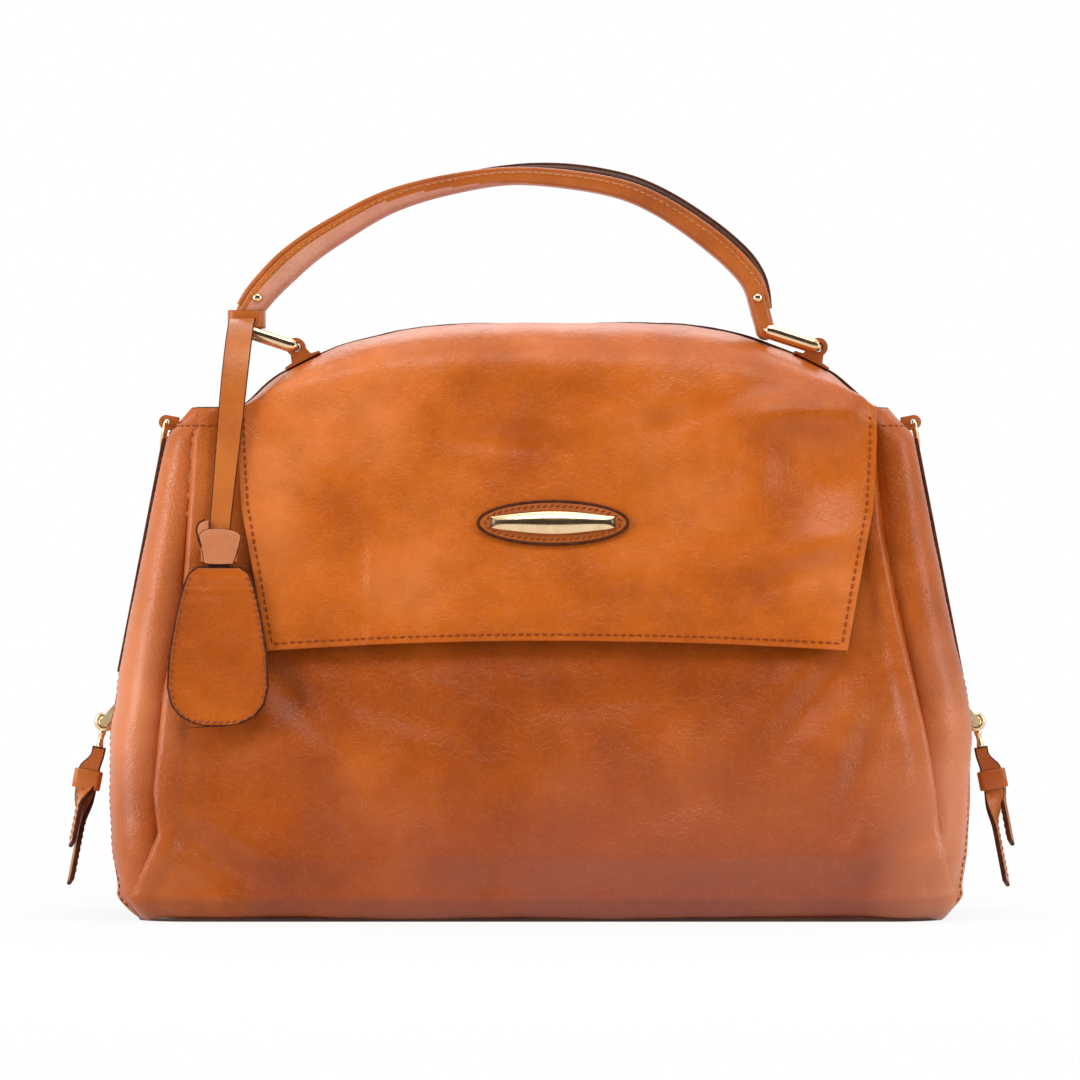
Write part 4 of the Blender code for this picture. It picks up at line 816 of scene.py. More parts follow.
def binding_grid():
    """Strip that lies on the flap's back edge, turns round it and runs down the back panel."""
    half = BACK_HALF - BINDING_MARGIN
    x = np.linspace(FLAP_X - half, FLAP_X + half, BINDING_COLUMNS)
    columns = np.interp(x, flap[0, :, 0], np.arange(flap.shape[1]))
    lines = np.array([sample(flap, np.full(BINDING_COLUMNS, float(row)), columns) for row in range(16)])
    climb = np.cumsum(np.linalg.norm(np.diff(lines, axis=0, prepend=lines[:1]), axis=2), axis=0)
    rows = []
    for reach in (0.0050, 0.0038, 0.0026, 0.0014, 0.0005):
        level = np.array([np.interp(reach, lengths, np.arange(16)) for lengths in climb.T])
        rows.append(sample(flap, level, columns) + sample(flap_normal, level, columns) * 0.0008)
    for y, z in ((0.0011, -0.0002), (0.0016, -0.0010), (0.0018, -0.0020)):
        rows.append(lines[0] + np.array([0.0, y, z]))
    for share in np.linspace(0, 1, 9):
        z = mix(lines[0][:, 2] - UNDER_FLAP, SHOULDER - UNDER_FLAP - BINDING_DROP, share)
        bow = 0.0008 * math.sin(share * math.pi)
        y = half_depth(MOUTH) + (MOUTH - z) * math.tan(TILT) + GAP + BINDING_WALL + bow
        rows.append(np.stack([x, y, z], -1))
    return np.array(rows)


binding = binding_grid()
strip = shell("seam_binding", binding, 0.0009, None, (DARK_LEATHER, DARK_LEATHER, EDGE),
              ["back_seam_binding"], (0.0, 1.0, 0.3))
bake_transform(strip)
stitches("seam_binding_stitches", [(binding[-3], (0.0, 1.0, 0.2))], "bag")


# Patch and plate
def on_front(x, z, out):
    """Frame on the sloping front, at a distance out of it and with its own z pointing out."""
    return Matrix.Translation((x, front_y(z, out), z)) @ Matrix.Rotation(math.pi / 2 - TILT, 4, "X")


def plate_grid(columns=72, rows=28):
    v, u = net(rows, columns, -1.0)
    half = mix(PLATE_MIDDLE, PLATE_END, u * u) / 2
    dome = 0.0008 + 0.0026 * (1 - u ** 4) * (1 - v * v) ** 0.75 * smoothstep(1.0, 0.955, np.abs(u))
    return placed(np.stack([u * PLATE_HALF, v * half, dome], -1),
                  on_front(PLATE_X, PLATE_Z, FLAP_OUT + PATCH_THICK + 2 * GAP))


cut("plate_patch_leather", [oval(PATCH_HALF, PATCH_HALF_WIDTH, 64)], PATCH_THICK,
    on_front(PLATE_X, PLATE_Z, FLAP_OUT + GAP + PATCH_THICK / 2), "flap", STRAP, 0.0006, ["plate_patch"])
patch_frame = on_front(PLATE_X, PLATE_Z, FLAP_OUT + GAP + PATCH_THICK)
patch_out = turned((0, 0, 1), patch_frame)
sewn = oval(PATCH_HALF - 0.0029, PATCH_HALF_WIDTH - 0.0021, 119)
patch_seam = placed(sewn + sewn[:1], patch_frame)
stitches("plate_patch_stitches", [(patch_seam, patch_out)], "flap", 0.0030, 0.0023, 0.00034, 0.5,
         DARK_THREAD)
patch_rim = placed(oval(PATCH_HALF, PATCH_HALF_WIDTH, 96, -0.0004), patch_frame)
tube("plate_patch_edge", patch_rim, 0.0008, "flap", EDGE, closed=True, sides=8)
shell("gold_plate", plate_grid(), 0.0008, "flap", [GOLD], ["plate"], patch_out)


# Anchor tabs and links
def tab_frame(side):
    """Frame at the foot of a tab: its own y stands up from the dome and its z lies along the bar."""
    slope = math.atan(-dome_slope(side * TAB_SPAN / TOP_HALF))
    foot = Vector((FLAP_X + side * TAB_SPAN, TOP_Y, SHOULDER + dome_rise(TAB_SPAN / TOP_HALF)))
    foot += Vector((math.sin(slope), 0.0, math.cos(slope))) * GAP
    return Matrix.Translation(foot) @ Matrix.Rotation(slope, 4, "Y") @ Matrix.Rotation(math.pi / 2, 4, "X")


def tab_bar(side):
    return tab_frame(side) @ Vector((0.0, TAB_LIFT, 0.0))


def foot_bar(side):
    return tab_bar(side) + Vector((math.cos(LINK_ANGLE), 0.0, math.sin(LINK_ANGLE))) * LINK_LENGTH


def build_anchor(word, side):
    foot, thin, thick = TAB_FOOT, 0.0012, 0.0018
    loop = [(-foot - 0.001, 0.0), (foot + 0.001, 0.0), (foot + 0.001, thin), (foot - 0.003, thick),
            *circle(TAB_RADIUS, 26, (0.0, TAB_LIFT), -math.pi / 6, math.pi * 4 / 3),
            (-foot + 0.003, thick), (-foot - 0.001, thin)]
    hole = circle(LINK_WIRE / 2 + RUN_GAP, 24, (0.0, TAB_LIFT))
    cut(word + "_tab_leather", [loop, hole], TAB_WIDTH, tab_frame(side), "flap", STRAP, 0.0004,
        [word + "_anchor_tab"], lines_only=True)


def build_link(word, side):
    """Wire link with flattened arms, which carries a foot of the handle."""
    body = word + "_link_body"
    wide = FOOT_WIDTH / 2 + LINK_WIRE / 2 + 3 * RUN_GAP
    place = Matrix.Translation(tab_bar(side)) @ Matrix.Rotation(-LINK_ANGLE, 4, "Y")
    line = [(x + LINK_LENGTH / 2, y, 0.0) for x, y in full_oval(LINK_LENGTH / 2, wide, 10.0, 96)]
    tube(word + "_link_gold", placed(line, place), LINK_WIRE / 2, body, GOLD, [word + "_link"],
         closed=True, sides=14, up=turned((0, 0, 1), place))
    along = np.linspace(0.0005, LINK_LENGTH - 0.0005, 24)
    ends = np.minimum(1.0, np.minimum(along, LINK_LENGTH - along) / 0.0024)
    for where, y in (("front", -wide), ("back", wide)):
        tube(f"{word}_link_arm_{where}", placed([(x, y, 0.0) for x in along], place),
             0.0019 + 0.0011 * ends ** 0.5, body, GOLD, sides=16, squash=0.62)


for word, side in SIDES:
    build_anchor(word, side)
    build_link(word, side)

# Handle
MIDDLE = (foot_bar(-1) + foot_bar(1)) / 2
HALF_SPAN = (foot_bar(1).x - foot_bar(-1).x) / 2
HANDLE_LINE = smooth_line([(HALF_SPAN * x, HANDLE_RISE * z) for x, z in zip(HANDLE_X, HANDLE_Z)], 12)
TANGENT = unit(np.gradient(HANDLE_LINE, axis=0))
OUTWARD = np.stack([-TANGENT[:, 1], TANGENT[:, 0]], -1)
run = np.concatenate([[0], np.cumsum(np.linalg.norm(np.diff(HANDLE_LINE, axis=0), axis=1))])
SHARE = run / run[-1]
BULGE_AT = (0, 0.05, 0.12, 0.24, 0.36, 0.50, 0.66, 0.84, 0.95, 1.0)
BULGES = (0.0050, 0.0064, 0.0070, 0.0060, 0.0048, 0.0038, 0.0042, 0.0050, 0.0048, 0.0044)
LEAF_SHIFT = 0.0040


def in_handle(line, outward, reach, y):
    """Points at a reach outwards of a line in the plane of the handle's arch, and at a y from that plane."""
    return np.insert(line + outward * np.reshape(reach, (-1, 1)), 1, y, axis=1) + np.array(MIDDLE)


def handle_loft(name, half_in, half_out, half_y, shift_y, mats, replaced=(), painted=0.0):
    """Strap with rounded ends, swept along the handle's line, with its own half sizes at each point. Up to
    the painted share of its length the second material goes on its inner side."""
    sides, power, cap = 28, 4, 7
    turn = math.tau * np.arange(sides) / sides
    a = np.cos(turn)
    b = np.copysign((1 - a ** power) ** (1 / power), np.sin(turn))
    last = len(HANDLE_LINE) - 1
    stations = [(0, -math.cos(math.pi / 2 * k / cap), math.sin(math.pi / 2 * k / cap)) for k in range(cap)]
    stations += [(i, 0.0, 1.0) for i in range(last + 1)]
    stations += [(last, -beyond, size) for _, beyond, size in stations[cap - 1:0:-1]] + [(last, 1.0, 0.0)]
    verts = []
    for i, beyond, size in stations:
        middle = HANDLE_LINE[i] + TANGENT[i] * beyond * (half_in[i] + half_out[i]) / 2
        reach = a * np.where(a > 0, half_out[i], half_in[i]) * max(size, 0.12)
        verts.append(in_handle(middle, OUTWARD[i], reach, shift_y + b * half_y[i]))
    mesh = new_mesh(name, np.concatenate(verts), loft_faces(len(stations), sides), mats)
    for i, (station, _, _) in enumerate(stations[:-1]):
        line = mix(0.30, -0.95, smoothstep(0.25, painted, SHARE[station]))
        for k in range(sides):
            if 0.02 < SHARE[station] < painted and a[k] < line and a[(k + 1) % sides] < line:
                mesh.polygons[i * sides + k].material_index = 1
    face_out(mesh, 50)
    return add_object(mesh, "handle_body", replaced)


def beside_handle(reach, y, start, end):
    """Line beside the handle's own, between two shares of its length."""
    return in_handle(HANDLE_LINE, OUTWARD, reach, y)[(SHARE > start) & (SHARE < end)]


def build_handle():
    bulge = np.interp(SHARE, BULGE_AT, BULGES)
    lift = np.clip((HANDLE_LINE[:, 1] - 0.017) / HANDLE_RISE * 2, 0, 1)
    half_y = mix(FOOT_WIDTH / 2, MID_WIDTH / 2, lift)
    handle_loft("handle_leather", bulge, bulge, half_y, 0.0, (STRAP_LEATHER, PALE_LEATHER), ["handle"],
                painted=0.60)
    for word, way in (("front", -1), ("back", 1)):
        bead = beside_handle(bulge - 0.0006, way * (half_y - 0.0012), 0.03, 0.97)
        tube(f"handle_bead_{word}", bead, 0.0011, "handle_body", STRAP_LEATHER, sides=8)
        row = beside_handle(bulge * 0.42, way * half_y * 0.995, 0.07, 0.93)
        stitches(f"handle_stitches_{word}", [(row, (0.0, way, 0.0))], "handle_body", 0.0034)
    leaf = bulge + 0.0032 * smoothstep(0.40, 0.62, SHARE) * smoothstep(0.985, 0.88, SHARE)
    # Dark leaf behind the handle: the painted edges of the folded strap, and painted shade inside its fold
    handle_loft("handle_back_leaf", bulge * 0.2, leaf, np.full_like(SHARE, 0.0021), LEAF_SHIFT,
                [DARK_LEATHER])
    inside = SHARE[(SHARE > 0.03) & (SHARE < 0.97)]
    tube("handle_leaf_edge", beside_handle(leaf, LEAF_SHIFT, 0.03, 0.97),
         0.0004 + 0.0007 * smoothstep(0.35, 0.6, inside), "handle_body", EDGE, sides=8)


RIVET = ((0.0021, 0.0), (0.0021, 0.0004), (0.0018, 0.0008), (0.0012, 0.0011), (0.0006, 0.00122),
         (0.0001, 0.00125))


def build_rivet(word):
    """Domed head of a rivet in a foot of the handle."""
    low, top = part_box(word + "_handle_rivet")
    middle = ((low.x + top.x) / 2, (low.z + top.z) / 2)
    verts = [(x, top.y - rise, z) for radius, rise in RIVET for x, z in circle(radius, 24, middle)]
    mesh = new_mesh(word + "_rivet_gold", verts, loft_faces(len(RIVET), 24), [GOLD])
    face_out(mesh, 60)
    add_object(mesh, "handle_body", [word + "_handle_rivet"])


build_handle()
build_rivet("left")
build_rivet("right")

# Key charm
CHARM_OUT = FLAP_OUT + CHARM_STAND + STRAP_THICK
STRAP_TOP = foot_bar(-1) + Vector((0.0, -FOOT_WIDTH / 2 - 3 * GAP - BAND_WALL, BAND_RISE + BAND_HEIGHT / 2))
TURN_Z = SHOULDER - CHARM_REACH
LEAN_LOW = CHARM_LOW + KEEPER_RISE + KEEPER_LENGTH + STRAP_THICK


def strap_x(z):
    """The strap leans outwards down to its keeper."""
    return STRAP_TOP.x - CHARM_LEAN * np.minimum(1.0, (STRAP_TOP.z - z) / (STRAP_TOP.z - LEAN_LOW))


CHARM_X = strap_x(CHARM_LOW)


def strap_grid(columns=8, rows=70):
    """The strap comes out of its loop, turns down and narrows a little."""
    path, v = net(rows, columns)
    bend = np.minimum(1.0, path / BEND_SHARE) * math.pi / 2
    down = np.maximum(0.0, (path - BEND_SHARE) / (1 - BEND_SHARE))
    z = mix(TURN_Z, STRAP_TOP.z, np.cos(bend)) + (CHARM_LOW - TURN_Z) * down
    y = mix(STRAP_TOP.y, front_y(np.minimum(z, TURN_Z), CHARM_OUT), np.sin(bend))
    half = (STRAP_HALF - 0.00005) * mix(1.0, 0.80, smoothstep(0.25, 0.9, path))
    return np.stack([strap_x(z) + half * v, y, z], -1)


def build_strap():
    """Loop round the handle's foot, strap, and the keeper that holds it."""
    low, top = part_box("charm_band")
    half_x, half_y = (top.x - low.x) / 2, (top.y - low.y) / 2
    place = Matrix.Translation((low + top) / 2 - Vector((0, 0, 0.0004)))
    loops = [full_oval(half_x + 0.0006, half_y, 5.0, 64),
             full_oval(half_x - 0.0014, half_y - 0.0015, 6.0, 64)]
    cut("charm_loop", loops, 0.0082, place, "handle_body", STRAP, 0.0005, ["charm_band"], lines_only=True)
    shell("charm_strap_leather", strap_grid(), STRAP_THICK, "charm", (STRAP_LEATHER, SUEDE, EDGE),
          ["charm_strap"], (0.0, -1.0, 0.3))
    wide, thick, wall = STRAP_HALF + GAP, STRAP_THICK / 2 + GAP, 0.0018
    hole = rounded_box(-wide, -thick, wide, thick, 0.0003)
    rim = rounded_box(-wide - wall, -STRAP_THICK / 2 - 0.0007, wide + wall, thick + wall, 0.0009)
    z = CHARM_LOW + KEEPER_RISE + KEEPER_LENGTH / 2
    place = Matrix.Translation((CHARM_X, front_y(z, CHARM_OUT - STRAP_THICK / 2), z))
    place = place @ Matrix.Rotation(math.pi - TILT, 4, "X")
    cut("charm_keeper_leather", [rim, hole], 0.0125, place, "charm", STRAP, 0.0003, ["charm_keeper"],
        lines_only=True)


KNOT = ((-0.0094, 0.0052), (-0.0060, 0.0082), (0.0030, 0.0084), (0.0094, 0.0062), (0.0098, 0.0022),
        (0.0070, -0.0074), (0.0050, -0.0084), (-0.0058, -0.0082), (-0.0072, -0.0050), (-0.0080, 0.0000))
EAR = ((-0.0060, -0.0030), (-0.0082, 0.0000), (-0.0098, 0.0046), (-0.0104, 0.0084), (-0.0090, 0.0116),
       (-0.0052, 0.0126), (-0.0046, 0.0096), (-0.0046, 0.0060))


def build_knot():
    """Wrap over the keeper, with a small ear and the painted line of its edge."""
    z = CHARM_LOW + 0.0088
    place = on_front(CHARM_X, z, CHARM_OUT + 0.0017)
    ear = smooth_line(EAR, 6)
    cut("charm_knot", [smooth_line(KNOT, 5)], 0.0024, place, "charm", (KNOT_LEATHER, EDGE), 0.0007)
    cut("charm_knot_loop", [ear], 0.0016, place @ Matrix.Translation((0.0, 0.0, -0.0006)), "charm",
        (KNOT_LEATHER, EDGE), 0.0005)
    line = [(x, y, 0.0001) for x, y in ear[6:-14]]
    tube("charm_knot_line", placed(line, place), 0.00042, "charm", EDGE, sides=8)


def leaf_grid(out, lift, columns=26, rows=66):
    """Leaf of the clochette, cupped across and wavy at its top."""
    share, v = net(rows, columns)
    path = 1 - (1 - share) ** 1.25
    half = CLOCHETTE_HALF * np.interp(path, LEAF_AT, LEAF_WIDE)
    z = CHARM_LOW - 2 * GAP - CLOCHETTE_LENGTH * path * math.cos(TILT)
    cup = lift * (0.5 + 0.5 * path) * (v * v - 0.4) * np.sin(math.pi * path)
    wave = 0.0005 * noise_at(v * 1.3, path * 9.0, out * 900)
    wave += 0.0004 * np.sin(path * 95) * bump_at(path, 0.10, 0.09)
    return np.stack([CHARM_X + v * half, front_y(z, out + cup + wave * (1 - path * 0.5)), z], -1)


def leaf_seam(leaf):
    """Row of stitches 1.2 mm inside the edge of a leaf, round its lower end."""
    normal = normals_of(leaf, (0.0, -1.0, 0.0))
    rows = np.arange(3.0, 62.0)
    near = 26 * 0.0012 / np.linalg.norm(leaf[rows.astype(int), 0] - leaf[rows.astype(int), -1], axis=1)
    low_rows = 62.0 + 1.2 * np.sin(np.linspace(0, math.pi, 14))
    line = (np.concatenate([rows, low_rows, rows[::-1]]),
            np.concatenate([near, np.linspace(near[-1], 26 - near[-1], 14), 26 - near[::-1]]))
    return sample(leaf, *line), sample(normal, *line)


def build_clochette():
    for word, out, lift in (("back", -0.00015, 0.0003), ("front", 0.00185, 0.0012)):
        leaf = leaf_grid(CHARM_OUT - STRAP_THICK / 2 + out, lift)
        shell(f"clochette_leaf_{word}", leaf, CLOCHETTE_THICK, "clochette", (CHARM_LEATHER, SUEDE, EDGE),
              ["clochette_" + word], (0.0, -1.0, 0.2))
        border = np.concatenate([leaf[:, 0], leaf[-1, 1:-1], leaf[::-1, -1], leaf[0, -2:0:-1]])
        tube(f"clochette_edge_{word}", border + np.array([0.0, 0.0006, 0.0]), 0.0005, "clochette", EDGE,
             closed=True, sides=8)
    stitches("clochette_stitches", [leaf_seam(leaf)], "clochette", 0.0031, 0.0022, 0.00036, 0.45,
             CHARM_THREAD)


build_strap()
build_knot()
build_clochette()

# Side zips, each in a frame at the foot of its chain: x points out of the gusset and z runs up along it
LEAN = math.atan((half_width(ZIP_LOW) - half_width(ZIP_HIGH)) / (ZIP_HIGH - ZIP_LOW))
CHAIN = (ZIP_HIGH - ZIP_LOW) / math.cos(LEAN)
TAPE_OUT = TAPE_STAND + TAPE_THICK
TAPE_IN = SLIT / 2
PITCH, TOOTH_HIGH = 0.0021, 0.0013


def zip_frame(side):
    turn = Matrix.Rotation(0.0 if side > 0 else math.pi, 4, "Z") @ Matrix.Rotation(-LEAN, 4, "Y")
    return Matrix.Translation((side * (half_width(ZIP_LOW) - RECESS), 0.0, ZIP_LOW)) @ turn


def block_mesh(name, boxes, mat):
    """Many small bevelled blocks, each from its low and high corner."""
    work = bmesh.new()
    for low, high in boxes:
        for vertex in bmesh.ops.create_cube(work, size=1.0)["verts"]:
            vertex.co = Vector([mix(a, b, c + 0.5) for a, b, c in zip(low, high, vertex.co)])
    bmesh.ops.bevel(work, geom=work.edges[:], offset=0.00022, segments=1, affect="EDGES")
    mesh = new_mesh(name, [], [], [mat])
    work.to_mesh(mesh)
    work.free()
    smooth_shade(mesh, 30)
    return mesh


def build_tape(word, where, place, way):
    """Half of the tape with its teeth; way is the side of the slit, along y, on which it lies."""
    z, v = net(59, 6, TAPE_LOW, TAPE_HIGH)
    y = way * mix(TAPE_IN + 0.0006, TAPE_IN + TAPE_WIDTH, (1 + way * v) / 2)
    grid = placed(np.stack([np.full_like(z, TAPE_OUT), y, z], -1), place)
    shell(f"{word}_tape_{where}", grid, TAPE_THICK, "bag", [TAPE], [f"{word}_zip_tape_{where}"],
          turned((1, 0, 0), place), round_rim=False)
    near, far = sorted((way * 0.00055, way * 0.0024))
    first = TAPE_LOW + 0.0004 + (PITCH / 2 if way > 0 else 0.0)
    feet = [first + k * PITCH for k in range(int((TAPE_HIGH - TAPE_LOW - 0.001) / PITCH))]
    boxes = [((TAPE_STAND - 0.0001, near, low), (TAPE_OUT + 0.00035, far, low + TOOTH_HIGH)) for low in feet]
    teeth = block_mesh(f"{word}_teeth_{where}", boxes, TEETH)
    teeth.transform(place)
    add_object(teeth, "bag")


def build_guard(word, where, place, way):
    """Leather strip beside the teeth, over the tape, with rolled edges and two rows of stitches."""
    over, top = TAPE_OUT + GAP, TAPE_OUT + GAP + GUARD_THICK
    step, far = TAPE_IN + TAPE_WIDTH + GAP, SLOT_HALF + GUARD_WIDTH
    section = [(over, SLOT_HALF), (top, SLOT_HALF), (top + 0.0003, step - 0.003),
               (top + 0.0005, far - 0.002), (top + 0.0004, far), (GAP, far), (GAP, step), (over, step)]
    cut(f"{word}_guard_{where}", [[(x, way * y) for x, y in section]], GUARD_HIGH - GUARD_LOW,
        place @ Matrix.Translation((0, 0, (GUARD_LOW + GUARD_HIGH) / 2)), "bag", STRAP, 0.0002,
        [f"{word}_zip_guard_{where}"], lines_only=True, dark=Vector((0.0, way, 0.0)))
    heights = np.linspace(GUARD_LOW + 0.0004, GUARD_HIGH - 0.0004, 40)

    def upright(x, y):
        return placed([(x, way * y, z) for z in heights], place)

    meshes = [tube_mesh("inner_edge", upright(over + GUARD_THICK / 2, SLOT_HALF), 0.00095, EDGE, sides=8),
              tube_mesh("outer_edge", upright(top - 0.0003, far - 0.0002), 0.0014, EDGE, sides=10)]
    add_object(join_meshes(f"{word}_guard_edge_{where}", meshes), "bag")
    outwards = turned((1, 0, 0), place)
    rows = [(upright(top + 0.0001, SLOT_HALF + 0.0022), outwards),
            (upright(top + 0.0005, far - 0.0030), outwards)]
    stitches(f"{word}_guard_stitches_{where}", rows, "bag", 0.0033, 0.0023, 0.00027)


def build_ring(word, hinge):
    """Ring on the slider, with a shank that ends in an eye."""
    shank = [(0.0, 0.0, z) for z in np.linspace(-0.0040, -SHANK + 0.0026, 10)]
    swell = [0.0016, 0.0019, 0.0017, 0.0014, 0.0013, 0.0013, 0.0014, 0.0016, 0.0018, 0.0015]
    eye = upright_circle(0.0023, 28, -SHANK)
    meshes = [tube_mesh("hoop", placed(upright_circle(0.0031, 40), hinge), 0.0016, GOLD, closed=True),
              tube_mesh("eye", placed(eye, hinge), 0.00078, GOLD, closed=True, sides=10),
              tube_mesh("shank", placed(shank, hinge), swell, GOLD)]
    add_object(join_meshes(word + "_ring_gold", meshes), word + "_ring", [word + "_pull_ring"])


def pull_grid(side, way, step, length, place):
    """Leaf of the folded pull, widening below its neck, turned over and cut at a slant at its end."""
    path, v = net(40, 8)
    z = PULL_BACK - (length + PULL_BACK) * path
    grow = smoothstep(0.0, PULL_FLARE, -z)
    over = smoothstep(0.26, 0.58, path)
    turn = math.radians(80) * over * side
    reach = mix(0.0031, PULL_HALF, grow) * v
    x = PULL_SHIFT * grow + way * 0.0021 * over + reach * np.cos(turn)
    y = way * (step + 0.0006 + 0.0012 * over) + reach * np.sin(turn)
    z += PULL_SLANT * smoothstep(0.55, 1.0, path) * (1 - v) / 2
    return placed(np.stack([x, y, z], -1), place)


def build_pull(word, side, place):
    """Strap folded through the eye of the ring, with a keeper round its two leaves."""
    body = word + "_pull"
    step = PULL_THICK / 2 + RUN_GAP + 0.0006
    rows = np.arange(17, 39)
    seams = []
    for letter, way, length in (("a", -1, 0.064), ("b", 1, 0.046)):
        grid = pull_grid(side, way, step, length, place)
        outwards = turned((0, way, 0), place)
        shell(f"{word}_pull_leaf_{letter}", grid, 0.0021, body, (STRAP_LEATHER, SUEDE, EDGE),
              [word + "_pull_strap"] if way < 0 else (), outwards)
        normal = normals_of(grid, outwards)
        for column in (1.3, 6.7):
            line = (rows, np.full(len(rows), column))
            seams.append((sample(grid, *line), sample(normal, *line)))
    stitches(word + "_pull_stitches", seams, body, 0.0031, 0.0021, 0.00024)
    neck = placed([(0.0, y, 0.0) for y in np.linspace(-step, step, 9)], place)
    tube(word + "_pull_neck", neck, 0.00115, body, STRAP_LEATHER, up=(0, 0, 1))
    deep, wide = PULL_THICK / 2 + RUN_GAP + 0.0012 + GAP, PULL_HALF + GAP
    hole = rounded_box(-wide, -deep, wide, deep, 0.0004)
    rim = rounded_box(-wide - 0.0014, -deep - 0.0018, wide + 0.0014, deep + 0.0018, 0.0024)
    drop = Matrix.Translation((PULL_SHIFT, 0.0, -PULL_KEEPER_START - PULL_KEEPER_LENGTH / 2))
    cut(word + "_keeper_leather", [rim, hole], PULL_KEEPER_LENGTH, place @ drop, body, [STRAP_LEATHER],
        0.0006, [word + "_pull_keeper"])


def build_d_ring(word, place):
    """Leather tab at the top of the chain, with a D-ring in it."""
    bar_out = TAPE_OUT + 2 * GAP + GUARD_THICK + D_WIRE / 2
    place = place @ Matrix.Translation((bar_out, 0.0, CHAIN + D_BAR_RISE))
    nose = circle(D_TAB_RADIUS, 17, (0.0, 0.0), -math.pi / 2, math.pi)
    loop = [(GAP - bar_out, -D_TAB_RADIUS), *nose, (GAP - bar_out, D_TAB_RADIUS)]
    cut(word + "_d_tab_leather", [loop, circle(D_WIRE / 2 + RUN_GAP, 20)], D_TAB_WIDTH,
        place @ Matrix.Rotation(math.pi / 2, 4, "X"), "bag", STRAP, 0.0003, [word + "_d_ring_tab"],
        lines_only=True)
    half, straight, bow = 0.0068, 0.0018, 0.0097
    points = []
    for y, z in full_oval(half, 1.0, 6.0, 72):
        round_part = bow * math.sqrt(max(0.0, 1 - (y / half) ** 2))
        points.append((0.0, y, (z - 1) * straight if z >= 0 else -straight - round_part))
    tube(word + "_d_ring_gold", placed(points, place), D_WIRE / 2, word + "_d_ring_body", GOLD,
         [word + "_d_ring"], closed=True, up=turned((1, 0, 0), place))


for word, side in SIDES:
    place = zip_frame(side)
    for where, way in (("front", -side), ("back", side)):
        build_tape(word, where, place, way)
        build_guard(word, where, place, way)
    hinge = place @ Matrix.Translation((TAPE_OUT + RUN_GAP + RING_RADIUS, 0.0, TAPE_LOW - PULL_DROP))
    build_ring(word, hinge)
    build_pull(word, side, hinge @ Matrix.Translation((0.0, 0.0, -SHANK)))
    build_d_ring(word, place)

# Solids shown as they are
for name in ("base_board", "snap_socket", "snap_stud", "left_zip_stop", "right_zip_stop", "left_zip_slider",
             "right_zip_slider"):
    for material_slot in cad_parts[name].material_slots:
        material_slot.material = BOARD if name == "base_board" else GOLD


# Floor, backdrop, light and camera
def seen_straight(tree):
    """One for what is seen, mirrored or seen through a surface, and nought for what lights the part."""
    rays = node(tree, "LightPath").outputs
    seen = maths(tree, "MAXIMUM", rays["Is Camera Ray"], rays["Is Glossy Ray"])
    return maths(tree, "MAXIMUM", seen, rays["Is Transmission Ray"])


def mixed_shader(tree, factor, a, b):
    return node(tree, "MixShader", {0: factor, 1: a.outputs[0], 2: b.outputs[0]}).outputs[0]


def floor_paper():
    """White paper that keeps the shadow near the bag and fades into the white background further out."""
    mat, tree, shader = material("floor_paper")
    feed(tree, shader, {"Base Color": (0.82, 0.82, 0.82, 1.0), "Roughness": 0.9})
    seen = seen_straight(tree)
    place = node(tree, "TexCoord").outputs["Object"]
    distance = node(tree, "VectorMath", {0: place}, operation="LENGTH").outputs["Value"]
    veil = spread(tree, distance, 0.30, 0.95, 0.86, 1.0)
    glow = node(tree, "Emission", {"Color": (1, 1, 1, 1), "Strength": 1.0})
    both = mixed_shader(tree, maths(tree, "MULTIPLY", seen, veil), shader, glow)
    tree.links.new(both, tree.nodes["Material Output"].inputs["Surface"])
    return mat


def stage_sheet(name, corners, mat):
    sheet = bpy.data.objects.new(name, new_mesh(name, corners, [tuple(range(len(corners)))], [mat]))
    bpy.context.scene.collection.objects.link(sheet)
    return sheet


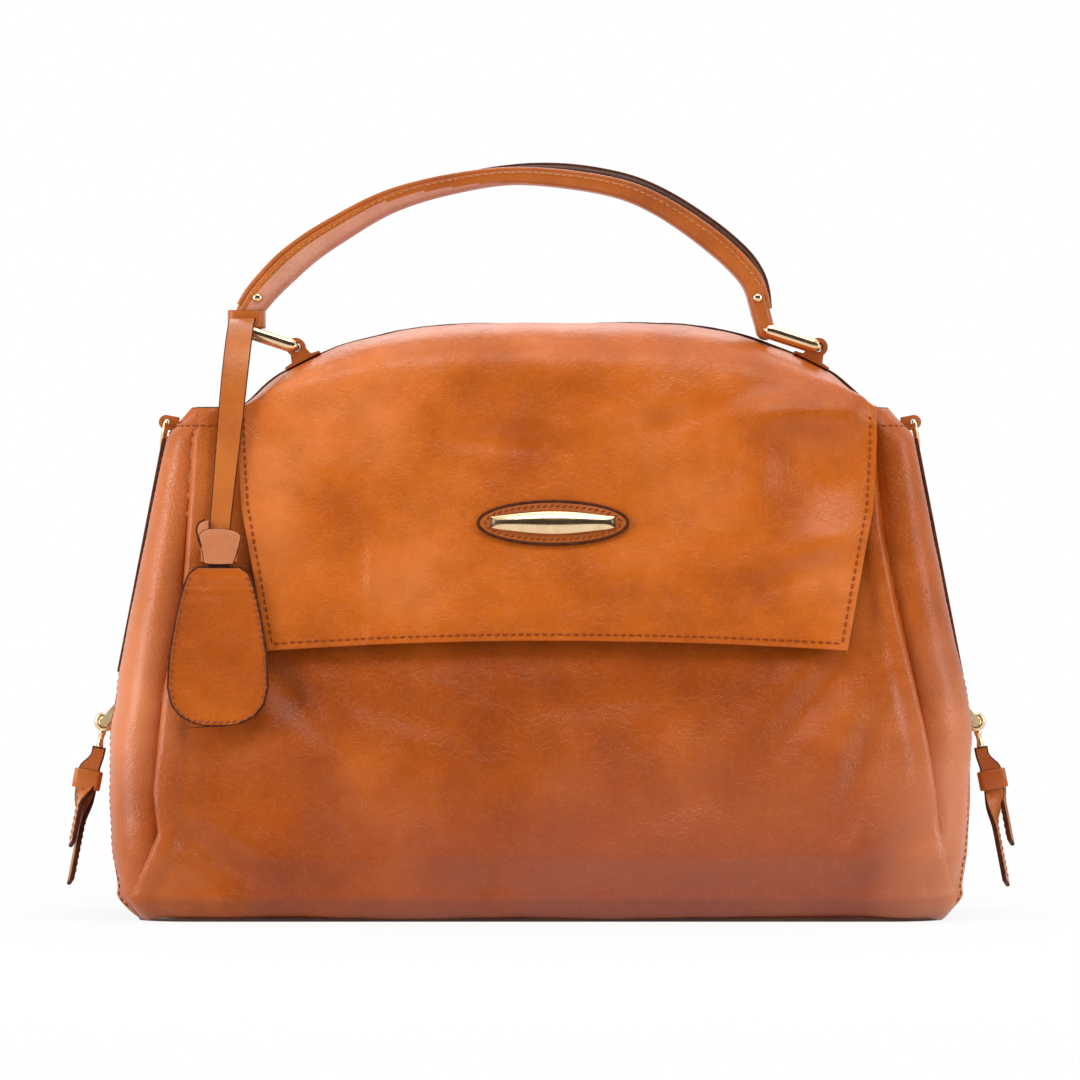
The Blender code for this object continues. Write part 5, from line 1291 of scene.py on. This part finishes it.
def studio_world():
    """White as a background, and a soft, slightly blue light on the part."""
    world = bpy.data.worlds.new("studio")
    bpy.context.scene.world = world
    world.use_nodes = True
    tree = world.node_tree
    soft = feed(tree, tree.nodes["Background"], {"Color": (0.92, 0.95, 1.0, 1.0), "Strength": 0.34})
    white = node(tree, "Background", {"Color": (1, 1, 1, 1), "Strength": 1.0})
    both = mixed_shader(tree, seen_straight(tree), soft, white)
    tree.links.new(both, tree.nodes["World Output"].inputs["Surface"])


def area_light(name, place, target, size, power, colour=(1.0, 1.0, 1.0)):
    light = bpy.data.lights.new(name, "AREA")
    light.shape = "RECTANGLE"
    light.size, light.size_y = size
    light.energy = power
    light.color = colour
    lamp = bpy.data.objects.new(name, light)
    bpy.context.scene.collection.objects.link(lamp)
    lamp.location = place
    lamp.rotation_euler = (Vector(target) - Vector(place)).to_track_quat("-Z", "Y").to_euler()


def add_camera():
    data = bpy.data.cameras.new("camera")
    data.sensor_width = 36.0
    data.lens = 228.0
    data.clip_end = 50.0
    camera = bpy.data.objects.new("camera", data)
    bpy.context.scene.collection.objects.link(camera)
    camera.location = (0.0, -3.22, 0.176)
    camera.rotation_euler = (math.pi / 2, 0.0, 0.0)
    bpy.context.scene.camera = camera


stage_sheet("floor", [(x, y, 0.0) for x, y in circle(9.0, 48)], floor_paper())
card_mat, card_tree, card_shader = material("dark_card_cloth")
feed(card_tree, card_shader, {"Base Color": (0.10, 0.09, 0.085, 1.0), "Roughness": 0.95})
card = stage_sheet("dark_card", [(-4.0, -4.4, 0.02), (4.0, -4.4, 0.02), (4.0, -4.4, 4.4), (-4.0, -4.4, 4.4)],
                   card_mat)
card.visible_camera = False
studio_world()
area_light("key", (0.15, -1.15, 2.0), (0.0, 0.0, 0.18), (1.3, 0.8), 18.0, (1.0, 0.98, 0.95))
area_light("left_strip", (-1.5, -0.8, 0.6), (-0.15, 0.0, 0.15), (0.7, 1.2), 20.0)
area_light("right_strip", (1.6, -0.8, 0.7), (0.15, 0.0, 0.15), (0.7, 1.2), 14.0)
area_light("top", (0.1, 0.2, 1.7), (0.0, 0.0, 0.15), (1.4, 0.9), 7.0)
area_light("rear", (0.2, 1.3, 1.4), (0.0, 0.0, 0.2), (1.4, 0.8), 9.0)
add_camera()
bpy.context.scene.view_settings.view_transform = "Standard"
